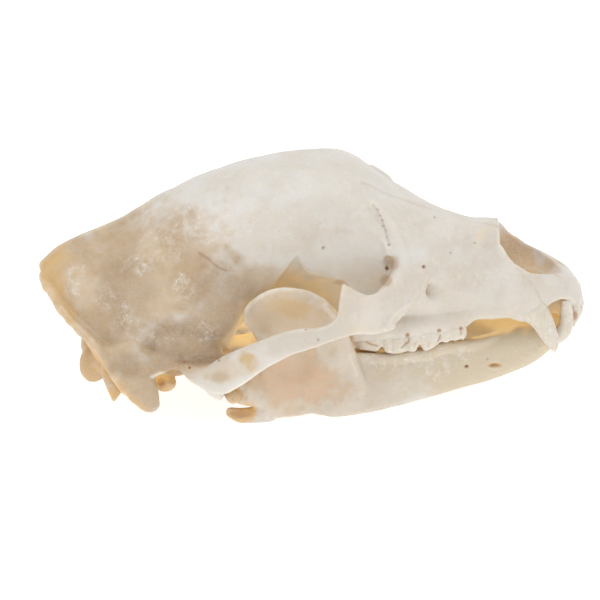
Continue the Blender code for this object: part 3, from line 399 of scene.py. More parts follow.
def path_through(points, count):
    """Evenly spaced points on the smooth curve through the given points."""
    points = np.array(points, float)
    lengths = np.concatenate([[0], np.cumsum(np.linalg.norm(np.diff(points, axis=0), axis=1))])
    places = np.linspace(0, lengths[-1], count)
    columns = [along(list(zip(lengths, column)), places) for column in points.T]
    return np.array(columns).T, places / lengths[-1], lengths / lengths[-1]


def linked(name, data):
    """New object in the scene."""
    item = bpy.data.objects.new(name, data)
    bpy.context.scene.collection.objects.link(item)
    return item


def closed_object(name, shell):
    """Object from a closed shell, with faces that all point out."""
    bmesh.ops.recalc_face_normals(shell, faces=shell.faces)
    if shell.calc_volume(signed=True) < 0:
        bmesh.ops.reverse_faces(shell, faces=shell.faces)
    mesh = bpy.data.meshes.new(name)
    shell.to_mesh(mesh)
    shell.free()
    return linked(name, mesh)


def closed_mesh(name, rings):
    """Closed object through rings of points, with a fan over each end."""
    rings = np.array(rings, float)
    count, around, _ = rings.shape
    ends = [rings[0].mean(axis=0), rings[-1].mean(axis=0)]
    points = np.vstack([rings.reshape(-1, 3), ends]) * MM
    first, last = count * around, count * around + 1
    faces = []
    for ring in range(count - 1):
        for k in range(around):
            a, b = ring * around + k, ring * around + (k + 1) % around
            faces.append((a, b, b + around, a + around))
    for k in range(around):
        faces.append((first, (k + 1) % around, k))
        faces.append((last, first - around + k, first - around + (k + 1) % around))
    mesh = bpy.data.meshes.new(name)
    mesh.from_pydata(points.tolist(), [], faces)
    shell = bmesh.new()
    shell.from_mesh(mesh)
    bpy.data.meshes.remove(mesh)
    return closed_object(name, shell)


def section(centre_y, centre_z, half_width, up, down, upper, lower, count=RING_POINTS):
    """Rounded section in the YZ plane, with its own height and fullness above and below."""
    angle = 2 * math.pi * (np.arange(count) + 0.5) / count
    sine, cosine = np.sin(angle), np.cos(angle)
    power = 2 / np.where(cosine > 0, upper, lower)
    reach = np.where(cosine > 0, up, down)
    return np.stack([centre_y + half_width * np.sign(sine) * abs(sine) ** power,
                     centre_z + reach * np.sign(cosine) * abs(cosine) ** power], axis=1)


def swept(name, points, half_heights, half_thicknesses, up=UPWARD, fullness=2, count=48, around=28):
    """Closed bar of oval section along a smooth path, with rounded ends."""
    path, shares, knots = path_through(points, count)
    heights = along(list(zip(knots, half_heights)), shares)
    widths = along(list(zip(knots, half_thicknesses)), shares)
    headings = np.gradient(path, axis=0)
    rings = []
    for i, centre in enumerate(path):
        forward = Vector(headings[i]).normalized()
        side = forward.cross(Vector(up)).normalized()
        rise = side.cross(forward)
        outline = section(0, 0, widths[i], heights[i], heights[i], fullness, fullness, around)
        rings.append(centre + np.outer(outline[:, 1], rise) + np.outer(outline[:, 0], side))
    first, last = [], []
    for end, inner, caps in ((0, 1, first), (-1, -2, last)):
        out = path[end] - path[inner]
        out = out / np.linalg.norm(out) * min(heights[end], widths[end])
        for share, reach in END_CAPS:
            caps.append(path[end] + (rings[end] - path[end]) * share + out * reach)
    return closed_mesh(name, first[::-1] + rings + last)


def upright(name, places, top, bottom, middle, half, fullness, side=1, lean=None):
    """Closed plate whose edges, middle and half thickness follow profiles along the skull."""
    rings = []
    for x in places:
        high, low = along(top, x), along(bottom, x)
        outline = section(along(middle, x), (high + low) / 2, along(half, x), (high - low) / 2,
                          (high - low) / 2, fullness, fullness)
        shift = along(lean, x) * (outline[:, 1] - low) / (high - low) if lean else 0
        rings.append(np.stack([np.full(len(outline), x), (outline[:, 0] - shift) * side,
                               outline[:, 1]], axis=1))
    return closed_mesh(name, rings)


def layered(name, knots, outer, side):
    """Closed cutter with level sections, from knots of (height, rear edge, front edge, inner wall)."""
    rear, front, inner = ([(knot[0], knot[k]) for knot in knots] for k in (1, 2, 3))
    rings = []
    for z in np.linspace(knots[0][0], knots[-1][0], 80):
        low, high, wall = along(rear, z), along(front, z), along(inner, z)
        outline = section((outer + wall) / 2, (low + high) / 2, (outer - wall) / 2, (high - low) / 2,
                          (high - low) / 2, POCKET_FULLNESS, POCKET_FULLNESS)
        rings.append(np.stack([outline[:, 1], outline[:, 0] * side, np.full(len(outline), z)], axis=1))
    return closed_mesh(name, rings)


def ball(name, centre, radii, turn=(0, 0, 0), side=1):
    """Closed ellipsoid of one side, turned by three angles in degrees."""
    shell = bmesh.new()
    bmesh.ops.create_uvsphere(shell, u_segments=40, v_segments=24, radius=1)
    x, y, z = (math.radians(angle) for angle in turn)
    placed = (Matrix.Translation(Vector(mirrored([centre], side)[0]) * MM)
              @ Matrix.Rotation(z * side, 4, "Z") @ Matrix.Rotation(y, 4, "Y")
              @ Matrix.Rotation(x * side, 4, "X") @ Matrix.Diagonal([r * MM for r in radii] + [1]))
    bmesh.ops.transform(shell, matrix=placed, verts=shell.verts)
    return closed_object(name, shell)


def block(name, low, high):
    """Closed box between two corners."""
    shell = bmesh.new()
    bmesh.ops.create_cube(shell, size=1)
    low, high = Vector(low) * MM, Vector(high) * MM
    placed = Matrix.Translation((low + high) / 2) @ Matrix.Diagonal((*(high - low), 1))
    bmesh.ops.transform(shell, matrix=placed, verts=shell.verts)
    return closed_object(name, shell)


def mirrored(points, side):
    """The same points on the left side (1) or the right side (-1)."""
    return [(x, y * side, z) for x, y, z in points]


def parts(rows, side=1):
    """Bars and balls of one side, from a table for the left side."""
    pieces = []
    for name, place, *shape in rows:
        if isinstance(place, list):
            pieces.append(swept(name, mirrored(place, side), *shape))
        else:
            pieces.append(ball(name, place, *shape, side=side))
    return pieces


def both_sides(rows):
    """Bars and balls of both sides."""
    return [piece for side in SIDES for piece in parts(rows, side)]


def apply_modifiers(piece):
    """Keep the object's evaluated mesh and drop its modifiers."""
    bpy.context.view_layer.update()
    graph = bpy.context.evaluated_depsgraph_get()
    mesh = bpy.data.meshes.new_from_object(piece.evaluated_get(graph))
    piece.modifiers.clear()
    old = piece.data
    piece.data = mesh
    bpy.data.meshes.remove(old)


def combine(body, pieces, operation):
    """One Boolean of a body with a collection of closed pieces, which are then removed."""
    group = bpy.data.collections.new("pieces")
    bpy.context.scene.collection.children.link(group)
    for piece in pieces:
        bpy.context.scene.collection.objects.unlink(piece)
        group.objects.link(piece)
    step = body.modifiers.new("combine", "BOOLEAN")
    step.operation = operation
    step.operand_type = "COLLECTION"
    step.collection = group
    step.solver = "MANIFOLD"
    apply_modifiers(body)
    for piece in pieces:
        bpy.data.objects.remove(piece, do_unlink=True)
    bpy.data.collections.remove(group)


def soften(body, voxel, passes):
    """Rebuild the surface on an even grain and ease its creases."""
    grain = body.modifiers.new("grain", "REMESH")
    grain.mode = "VOXEL"
    grain.voxel_size = voxel * MM
    ease = body.modifiers.new("ease", "SMOOTH")
    ease.factor = 0.5
    ease.iterations = passes
    apply_modifiers(body)


def read(items, name, width, kind=float):
    """A value of all of a mesh's items, with a row for each."""
    values = np.empty(len(items) * width, kind)
    items.foreach_get(name, values)
    return values.reshape(-1, width)


def points_of(body):
    """The object's points in millimetres."""
    return read(body.data.vertices, "co", 3) / MM


def edges_of(body):
    """The two ends of each edge."""
    return read(body.data.edges, "vertices", 2, int)


def ease_round(body, centre, reach, passes):
    """Ease the surface more within reach of a point and of its mirror image."""
    places = points_of(body)
    places[:, 1] = abs(places[:, 1])
    shares = 1 - (np.linalg.norm(places - np.array(centre), axis=1) / reach) ** 2
    zone = body.vertex_groups.new(name="zone")
    for level in range(1, 11):
        chosen = np.where((shares > (level - 1) / 10) & (shares <= level / 10))[0]
        zone.add(chosen.tolist(), level / 10, "REPLACE")
    ease = body.modifiers.new("ease", "SMOOTH")
    ease.factor = 0.5
    ease.iterations = int(passes * EASE_PASSES / 5)
    ease.vertex_group = zone.name
    apply_modifiers(body)
    body.vertex_groups.clear()


def keep_largest(body):
    """Keep only the connected surface with the most points."""
    edges = edges_of(body)
    label = np.arange(len(body.data.vertices))
    while True:
        low = np.minimum(label[edges[:, 0]], label[edges[:, 1]])
        fresh = label.copy()
        np.minimum.at(fresh, edges[:, 0], low)
        np.minimum.at(fresh, edges[:, 1], low)
        fresh = fresh[fresh]
        if (fresh == label).all():
            break
        label = fresh
    names, sizes = np.unique(label, return_counts=True)
    if len(names) == 1:
        return
    drop = np.where(label != names[np.argmax(sizes)])[0]
    shell = bmesh.new()
    shell.from_mesh(body.data)
    shell.verts.ensure_lookup_table()
    bmesh.ops.delete(shell, geom=[shell.verts[i] for i in drop.tolist()], context="VERTS")
    shell.to_mesh(body.data)
    shell.free()


def cranium_core():
    """Braincase, forehead and muzzle as one loft along the skull."""
    rings = []
    for x in np.concatenate([np.linspace(-136.5, 90, 150), np.linspace(91, 136.5, 60)]):
        wide, level = along(HALF_WIDTH, x), along(WIDEST_AT, x)
        outline = section(0, level, wide, max(along(ROOF, x) - level, 1), max(level - along(BASE, x), 1),
                          along(UPPER_FULLNESS, x), along(LOWER_FULLNESS, x), CORE_RING_POINTS)
        rings.append(np.insert(outline, 0, x, axis=1))
    return closed_mesh("cranium_bone", rings)


def sagittal_crest():
    """Ridge along the top of the braincase."""
    ridge = [(x, 0, along(ROOF, x) - 2.5) for x in (-134, -125, -115, -104, -92, -82, -72, -62)]
    return swept("sagittal_crest", ridge, [4.4, 5, 5, 5, 4.8, 4.4, 3.6, 2],
                 [3, 2.6, 2.6, 2.6, 2.6, 3, 3, 3])


def cheek_arches():
    """Zygomatic arches with the orbit's front rim and the upright corner behind it."""
    pieces = []
    for side in SIDES:
        pieces.append(upright("arch", np.linspace(-66, 42, 110), ARCH_TOP, ARCH_BOTTOM, ARCH_SIDE,
                              ARCH_HALF_THICKNESS, 3.6, side))
        pieces += parts(CHEEK, side)
    return pieces


def orbit_hollows():
    """Cutters for the pocket below and behind each orbit, and for the pit behind its rim."""
    pieces = []
    for side in SIDES:
        pieces.append(layered("behind_orbit", POCKET, POCKET_OUTER, side))
        pieces += parts(ORBIT, side)
    return pieces


def cranium_hollows():
    """Cutters for the nose, the palate, the ear openings and the brain's opening."""
    return both_sides(HOLLOWS) + [
        ball("palate_arch", (66, 0, 44.5), (62, 17, 5)),
        upright("nose", np.linspace(60, 97, 30), NOSE_TOP, NOSE_BOTTOM, MIDDLE, NOSE_HALF_WIDTH, 2.6),
        upright("nose_front", np.linspace(94.6, 150, 60), NOSE_FRONT_TOP, NOSE_BOTTOM, MIDDLE,
                NOSE_HALF_WIDTH, 3)] + parts(REAR_HOLLOWS)


def grown(sizes):
    """Sizes with the room that a bone needs round another."""
    return [size + SOCKET_CLEARANCE for size in sizes]


def condyle_grooves():
    """Cutters that keep the cranium clear of the jaw's condyles and their necks."""
    size = grown(CONDYLE_SIZE)
    return both_sides([
        ("groove", CONDYLE_AXIS, size, size),
        ("neck_groove", CONDYLE_NECK, grown(NECK_HALF_HEIGHT), grown(NECK_HALF_THICKNESS))])


def scrolls():
    """Thin plate down the middle of the nose and the scrolls of bone beside it."""
    plate = upright("septum", np.linspace(64, 112, 30), SEPTUM_TOP, SEPTUM_BOTTOM, MIDDLE, SEPTUM_HALF, 4)
    return [plate] + both_sides(SCROLLS)


def build_cranium():
    """Cranium as one bone."""
    body = cranium_core()
    combine(body, orbit_hollows(), "DIFFERENCE")
    combine(body, [sagittal_crest()] + both_sides(CRESTS) + cheek_arches() + both_sides(JAW_SOCKETS)
            + both_sides(PALATE) + parts(INCISOR_EDGE), "UNION")
    combine(body, cranium_hollows(), "DIFFERENCE")
    combine(body, scrolls(), "UNION")
    combine(body, condyle_grooves(), "DIFFERENCE")
    soften(body, VOXEL, EASE_PASSES)
    keep_largest(body)
    for centre, reach, passes in EASED_ZONES:
        ease_round(body, centre, reach, passes)
    return body


def build_jaw(side):
    """One half of the lower jaw without its teeth."""
    name = "jaw_bone_left" if side == 1 else "jaw_bone_right"
    body = upright(name, np.linspace(-12, 131.5, 110), JAW_TOP, JAW_BOTTOM, JAW_SIDE,
                   JAW_HALF_THICKNESS, 2.6, side, JAW_LEAN)
    ramus = upright("ramus", np.linspace(-33.5, 25, 70), RAMUS_TOP, RAMUS_BOTTOM, RAMUS_SIDE,
                    RAMUS_HALF_THICKNESS, 3, side)
    combine(body, [ramus] + parts(JAW_PARTS, side), "UNION")
    near, far = sorted((-40 * side, (SYMPHYSIS_HALF_GAP - SYMPHYSIS_EASE) * side))
    combine(body, [ball("masseter_fossa", *MASSETER_FOSSA, side),
                   block("other_half", (60, near, -20), (150, far, 80))], "DIFFERENCE")
    soften(body, VOXEL * JAW_GRAIN, EASE_PASSES)
    keep_largest(body)
    ease_round(body, *JAW_EASED_ZONE)
    combine(body, [block("below_floor", (-150, -100, -30), (150, 100, FLOOR_CUT))], "DIFFERENCE")
    return body


def occlusal(x, y):
    """Height of the surface where the cheek teeth close, higher towards the tongue."""
    return OCCLUSAL_HEIGHT + OCCLUSAL_SLOPE * x + OCCLUSAL_TILT * (OUTER_EDGE - abs(y))


def lobe(x, y, half_length, half_width, height, passing, upward):
    """One rounded cusp of a cheek tooth with its root."""
    turn = -1 if upward else 1
    rings = []
    for share, swell in [(-TOOTH_ROOT / height, 0.8)] + LOBE_SHAPE:
        outline = section(0, 0, half_length * swell, half_width * swell, half_width * swell, 2.3, 2.3, 28)
        level = occlusal(x, y) + turn * (height * (1 - share) + TOOTH_GAP - passing)
        rings.append(np.stack([x + outline[:, 0], y + outline[:, 1], np.full(28, level)], axis=1))
    return closed_mesh("lobe", rings)


def canine(name, points, sizes, side):
    """Curved tapering tooth, narrower across the jaw than along it."""
    return swept(name, mirrored(points, side), sizes, [size * CANINE_FLATNESS for size in sizes],
                 (1, 0, 0.6), count=30)


def incisor(name, points, side, wide, deep):
    """Small tooth that widens to a blunt edge."""
    return swept(name, mirrored(points, side), [wide * 0.8, wide, wide * 0.72], [deep, deep, deep * 0.6],
                 (0, 1, 0), count=14, around=18)


def fused(name, pieces):
    """One smooth body from teeth that cross."""
    whole = bmesh.new()
    for piece in pieces:
        whole.from_mesh(piece.data)
        bpy.data.objects.remove(piece, do_unlink=True)
    mesh = bpy.data.meshes.new(name)
    whole.to_mesh(mesh)
    whole.free()
    body = linked(name, mesh)
    soften(body, TOOTH_VOXEL, TOOTH_EASE_PASSES)
    return body


def upper_teeth():
    """Upper teeth of both sides."""
    teeth = []
    for side in SIDES:
        for name, edge, middle, half in UPPER_CROWNS:
            places = np.linspace(edge[0][0], edge[-1][0], 60)
            teeth.append(upright(name, places, UPPER_ROOT, edge, middle, half, 2.8, side))
        for x, y, *sizes in UPPER_LOBES:
            teeth.append(lobe(x, y * side, *sizes, upward=False))
        teeth.append(canine("upper_canine", UPPER_CANINE, UPPER_CANINE_SIZE, side))
        for x, y, drop, wide in UPPER_INCISORS:
            teeth.append(incisor("upper_incisor", [(x - 4, y * 0.96, 53), (x - 0.6, y, 46.6),
                                                   (x - 1.9, y, 48.5 - drop)], side, wide, 2.9))
    return fused("upper_teeth", teeth)


def lower_teeth(side):
    """Lower teeth of one side."""
    teeth = []
    for x, y, *sizes in LOWER_LOBES:
        teeth.append(lobe(x, y * side, *sizes, upward=True))
    teeth.append(canine("lower_canine", LOWER_CANINE, LOWER_CANINE_SIZE, side))
    for x, y, rise, wide in LOWER_INCISORS:
        teeth.append(incisor("lower_incisor", [(x - 4.5, y * 0.95, 33), (x - 2.2, y, 37),
                                               (x, y, 41 + rise)], side, wide, 2.2))
    return fused("lower_teeth_left" if side == 1 else "lower_teeth_right", teeth)


def seen_height(places):
    """Height in the photograph's view, where a point further out to the side looks lower."""
    return places[:, 2] * math.cos(VIEW_TILT) - abs(places[:, 1]) * math.sin(VIEW_TILT)


def spread_out(values, ends, passes):
    """Average each point's value with its neighbours'."""
    count = len(values)
    degree = np.bincount(ends[:, 0], minlength=count) + np.bincount(ends[:, 1], minlength=count)
    for _ in range(passes):
        total = np.bincount(ends[:, 0], values[ends[:, 1]], count)
        total += np.bincount(ends[:, 1], values[ends[:, 0]], count)
        values = 0.5 * values + 0.5 * total / np.maximum(degree, 1)
    return values


def ramp(values, low, high):
    """Smooth step from 0 at low to 1 at high."""
    t = np.clip((values - low) / (high - low), 0, 1)
    return t * t * (3 - 2 * t)


def grain_noise(places, size, seed):
    """Smooth noise from -1 to 1 with lumps of about the given size."""
    table = np.random.default_rng(seed).uniform(-1, 1, 4096)
    spot = places / size
    low = np.floor(spot).astype(np.int64)
    part = spot - low
    part = part * part * (3 - 2 * part)
    total = np.zeros(len(places))
    for corner in range(8):
        step = np.array([corner & 1, corner >> 1 & 1, corner >> 2 & 1])
        key = (low + step) * HASH
        weight = np.where(step, part, 1 - part).prod(axis=1)
        total += weight * table[(key[:, 0] ^ key[:, 1] ^ key[:, 2]) & 4095]
    return total


def line_distance(spots, line, reach):
    """Distance of spots in the plane from a line of straight runs, or reach where it is further."""
    line = np.array(line, float)
    best = np.full(len(spots), reach, float)
    low, high = line.min(axis=0) - reach, line.max(axis=0) + reach
    near = np.where(((spots > low) & (spots < high)).all(axis=1))[0]
    close = spots[near]
    found = best[near]
    for a, b in zip(line[:-1], line[1:]):
        run = b - a
        share = np.clip((close - a) @ run / (run @ run), 0, 1)
        found = np.minimum(found, np.linalg.norm(close - a - share[:, None] * run, axis=1))
    best[near] = found
    return best


def wavy(line, size, seed):
    """The line with small sideways wanderings, as a suture between two bones has."""
    draw = np.random.default_rng(seed)
    line = np.array(line, float)
    points = []
    for a, b in zip(line[:-1], line[1:]):
        run = b - a
        count = max(2, int(np.linalg.norm(run) / WANDERING_STEP))
        across = np.array([-run[1], run[0]]) / np.linalg.norm(run)
        for share in np.arange(count) / count:
            points.append(a + run * share + across * draw.uniform(-size, size))
    return np.array(points + [line[-1]])


# Relief as seen from the side: line, half width, height (a groove is below 0), wandering,
# least and greatest distance from the middle plane, and how dark its seam is (below 0: how strong a
# painted highlight it gets)
CRANIUM_LINES = [
    ([(-57, 106), (-45, 108.5), (-25, 111), (-9, 111.5), (11, 109), (21.5, 107.5), (30, 103)],
     1.5, 0.45, 0, 8, 45, 0),
    ([(-66, 102.5), (-52.5, 104), (-34, 103), (-21, 98), (0, 98), (12, 97)], 2.4, 0.35, 0, 8, 50, 0),
    ([(-56, 70), (-52.5, 67.5), (-46, 62.4), (-42.5, 61)], 0.5, -0.25, 0.12, 25, 60, 0.5),
    ([(-42.5, 61), (-34, 60.5), (-26, 62)], 0.4, -0.15, 0.12, 25, 60, 0.1),
    ([(25, 105), (38, 99.5), (57.5, 93), (70, 89.5), (78, 87), (95.5, 83)], 0.5, -0.2, 0.3, 4, 42, 0.15),
    ([(103.5, 62.5), (108, 57), (112.5, 52.5), (116, 45)], 0.45, -0.12, 0.35, 10, 40, 0.12),
    ([(20.5, 66.5), (28, 67.2), (35, 65.5)], 0.4, -0.12, 0.15, 20, 45, 0.06),
    ([(12.6, 81), (17, 80.6), (20.7, 79)], 1.4, -0.3, 0, 20, 45, 0.05),
    ([(31, 94), (33, 90.5), (35.4, 87), (36.6, 82), (38.2, 77), (39, 74)], 0.4, -0.25, 0.5, 20, 45, 0.22),
    ([(57.6, 57.9), (54, 51), (50, 45.8), (41.4, 39.7), (36.4, 32.1)], 1.3, 0.9, 0.1, 28, 60, 0),
    # Painted highlight along the lighter edge above the ear opening
    ([(-79.8, 7.9), (-75.3, 9.9), (-68.7, 9.4), (-61.6, 6.9), (-51.6, -1.2), (-44.4, -4.5)],
     0.8, 0.3, 0.1, 40, 75, -0.9),
]
JAW_LINES = [
    ([(-33.7, 40.8), (-28, 45.5), (-19.4, 50.2), (-7.8, 50.2), (5.3, 44.2), (12.4, 38)],
     1.3, 0.45, 0, 35, 60, 0),
    ([(-27, 33), (-18, 43), (-8, 43), (3, 37)], 4.5, -0.9, 0, 35, 60, 0),
    ([(19.5, 18.5), (21, 14), (23, 9)], 1.4, 0.4, 0, 30, 60, 0),
    ([(15.5, 18), (16.5, 12), (18.5, 6)], 2.6, -0.4, 0, 30, 60, 0),
]
# Small holes as seen from the side: place, seen height, radii along and up, depth, how dark the painted
# shade inside is
CRANIUM_HOLES = [
    (6, 72.5, 0.7, 0.5, 0.7, 0.7), (56.5, 63, 0.8, 0.8, 1, 0.8), (37.9, 62.3, 0.7, 1.1, 1.2, 1),
    (-2.5, 31.6, 0.5, 0.4, 0.4, 0.6), (3.5, 26.6, 0.45, 0.6, 0.4, 0.6), (-60.8, 12.6, 0.6, 0.6, 0.5, 1),
    (-63.6, 15.5, 0.5, 0.5, 0.4, 0.9), (-46, 16.2, 0.5, 0.5, 0.4, 0.9), (62, 88, 0.4, 0.4, 0.4, 0.6),
    (-75.5, 5.6, 2.2, 2, 0.5, 0.45), (70, 70, 0.4, 0.4, 0.4, 0.5), (82, 75, 0.45, 0.4, 0.4, 0.5),
    (112, 63.5, 0.6, 0.5, 0.5, 0.6),
]
TOOTH_LINES = [
    ([(48.4, 29.2), (48.9, 26), (47.2, 24), (45.4, 22.4)], 0.4, -0.35, 0, 24, 40, 0.65),
    ([(64.3, 31.6), (64.7, 27.6), (63.6, 25.6)], 0.4, -0.35, 0, 24, 40, 0.65),
    ([(75.1, 32.6), (75.3, 29)], 0.35, -0.3, 0, 22, 40, 0.5),
    ([(24, 28), (27.3, 25.6), (30.1, 24.1), (33.3, 23.4)], 0.45, -0.35, 0, 24, 40, 0.6),
    ([(41, 21), (41.4, 23.6), (40.6, 26)], 0.5, -0.2, 0, 28, 40, 0.2),
    ([(51.6, 22.4), (52.2, 25)], 0.4, -0.2, 0, 28, 40, 0.2),
    ([(59, 22.4), (59.4, 25.6)], 0.4, -0.2, 0, 28, 40, 0.2),
]
TOOTH_HOLES = [
    (48.3, 28.6, 0.9, 1.1, 0.6, 0.8), (64.3, 30.9, 0.9, 0.8, 0.6, 0.8), (75.2, 32.1, 0.8, 0.8, 0.5, 0.7),
    (132.9, 38.6, 1, 2, 0.5, 0.55),
]
# Painted shade in the gaps between the crowns, as rows of a tint
GAP_SHADE_ZONES = [(35.7, 20.6, 2.6, 2.4, 0.3, 0, 30.5), (54.5, 22.3, 2.2, 2.8, 0.3, 0, 30.5)]
CROWN_UNEVENNESS = (2.6, 0.16)
JAW_HOLES = [
    (-36, -10.6, 5.5, 2.2, 0.8, 0.3), (78.3, 12.9, 0.9, 0.7, 1.3, 0.8), (92.5, 13.4, 2.6, 0.9, 1.6, 0.35),
    (88.9, 16.5, 0.4, 0.4, 0.4, 0.6),
]
RIM_PORES = [
    (31.5, 93.5), (33, 91.5), (34.2, 88.6), (35.6, 86.4), (36, 83.4), (37.4, 81), (38, 77.6), (39, 74),
]
# Tints as seen from the side: place, seen height, radii, strength, and least and greatest distance
# from the middle plane where they aren't the usual ones
DEPTH_OF_TINTS = (0, 60)
# Where the painted glow goes: emission standing in for light in shut-in places
GLOW_ZONES = [
    (94, 34, 22, 10, 0.6, 0, 90), (2, 48, 30, 20, 0.16, 0, 90), (104, 62, 22, 12, 0.1, 0, 90),
    (124, 34, 8, 12, 0.5, 0, 90), (-34, 28, 13, 14, 1, 0, 30), (-75, 5, 9, 7, 0.7, 20, 52),
    (-99, 0, 10, 12, 0.35, 0, 46),
]
FAR_GLOW_ZONES = [(-33, 4, 12, 16, 1, 0, 66)]
# Zone kept free of the painted light and shade of recesses
NO_RECESS_SHADING = [(46, 30, 34, 9, 1, 26, 60)]
# Ochre inside the nose: partly the bone's own stain, partly painted light bounced inside
NOSE_INSIDE_ZONES = [(98, 60, 9, 12, 0.9, 0, 40), (107, 54, 9, 7, 0.8, 0, 40)]
CREST_EDGE = [
    (-135.4, 62.4), (-134.3, 52.8), (-129.3, 43.7), (-126.3, 35.2), (-115.6, 25.6), (-107.6, 18),
    (-103, 9.9), (-95.4, 1.3), (-84.3, -9.3),
]
CREST_ROUGHNESS = 0.7
WANDERING_STEP = 0.9        # distance between the turns of a wandering line
CREST_LIP = [(-127, 68), (-135, 62), (-135, 52)]
UNEVENNESS = [(14, 0.28), (5, 0.12), (2.2, 0.05)]
BONE_TINTS = ("tan", "brown", "chalk_and_sheen", "stain", "pink", "ochre", "grey", "dun", "straw")
CRANIUM_ZONES = {
    "tan": [(-84, 60, 54, 38, 1, 0, 54), (-58, 24, 40, 22, 1, 0, 62), (-108, 34, 34, 48, 1, 0, 70),
        (-28, 52, 26, 16, 0.8, 0, 50), (-60, 11, 24, 9, 1, 0, 64), (-86, 0, 20, 24, 1, 0, 70),
        (-120, 64, 26, 22, 1), (-44, 34, 26, 20, 1, 0, 52), (112, 57, 16, 7, 0.9, 0, 14),
        (-10, 40, 50, 30, 0.3, 58, 90), (60, 46, 90, 24, 0.22, 0, 90), (72, 84, 44, 16, 0.15),
        (-20, 80, 30, 16, 0.25)],
    "brown": [(-53, 15.5, 17, 5.5, 1), (-56, 27, 34, 17, 0.5), (-84, 14, 22, 9, 0.4),
        (-46, 48, 20, 24, 0.4, 0, 52), (-92, 52, 20, 20, 0.3), (-82, -3, 14, 10, 0.3, 0, 70),
        (-124, 42, 8, 16, 0.3), (-110, 20, 10, 14, 0.2)],
    # Chalky patches, which also carry painted sheen
    "chalk_and_sheen": [(-93, 39, 6, 9, 1), (-64.6, 53.3, 8, 8, 1), (-119, 56, 5, 12, 0.9), (-85, 65, 9, 7, 0.8),
        (-72, 76, 14, 12, 0.7), (-103, 47, 9, 8, 0.6), (-51.5, 31, 9, 7, 0.9), (-82, 31, 22, 9, 0.45),
        (-46, 86, 30, 14, 0.9), (-14, 80, 36, 20, 0.35, 0, 45), (86, 62, 26, 12, 0.5, 0, 45),
        (60, 84, 30, 10, 0.5, 0, 45)],
    "stain": [(-31.5, 17, 5.5, 4, 0.8, 62, 90), (-29.6, 14.4, 4.4, 4.6, 0.7, 62, 90),
        (-44, 9, 10, 5, 0.4, 55, 90), (-39, 12, 14, 5, 0.3, 55, 90)],
    "ochre": [(18, 28, 4, 4, 0.8, 15, 45), (-99, -4, 10, 10, 1, 0, 46), (-112, 12, 10, 14, 0.5, 0, 40),
        (-73, 5, 7.5, 6, 1, 0, 52), (-131, 54, 9, 12, 0.8), (-124, 36, 8, 16, 0.7),
        (-112, 16, 8, 14, 0.5)],
    "grey": [(-8, 28, 34, 9, 0.8, 62, 90)],
    "dun": [(41, 65, 3.4, 4.4, 0.5), (38, 55.5, 4, 4, 0.6), (14.6, 55.2, 3.4, 1.4, 0.5),
        (-46, 7.8, 6, 3.4, 0.45, 55, 90)],
    # Zones kept free of the painted light through thin bone
    "solid": [(104, 50, 60, 45, 1), (46, 34, 44, 14, 1)],
}
JAW_ZONES = {
    "tan": [(-39, -1, 8, 6, 1, 30, 75), (-12, 8, 34, 24, 0.9, 0, 90), (20, 14, 14, 14, 0.3, 0, 90),
        (4, 10, 60, 40, 0.45, 0, 90), (-12, 36, 30, 18, 0.9, 0, 90)],
    "straw": [(90, 20, 70, 34, 0.8, 0, 90)],
    "pink": [(-8, 6, 24, 13, 0.9, 30, 90)],
    "brown": [(-39, -1, 8, 6, 0.8, 30, 75)],
    "ochre": [(-39, -1, 8, 6, 0.6, 30, 75), (-38, -10, 11, 6, 1.4, 30, 60), (-8, 42, 16, 5, 0.4, 30, 60),
        (92.5, 13.4, 4.4, 1.8, 0.9)],
    # Chalky patches, which also carry painted sheen
    "chalk_and_sheen": [(44, 20, 26, 11, 0.7), (61, 13, 10, 9, 1), (76, 18, 5, 6, 1)],
    # Zones kept free of the painted light through thin bone
    "solid": [(60, 20, 70, 60, 1), (0, 10, 44, 26, 1)],
}


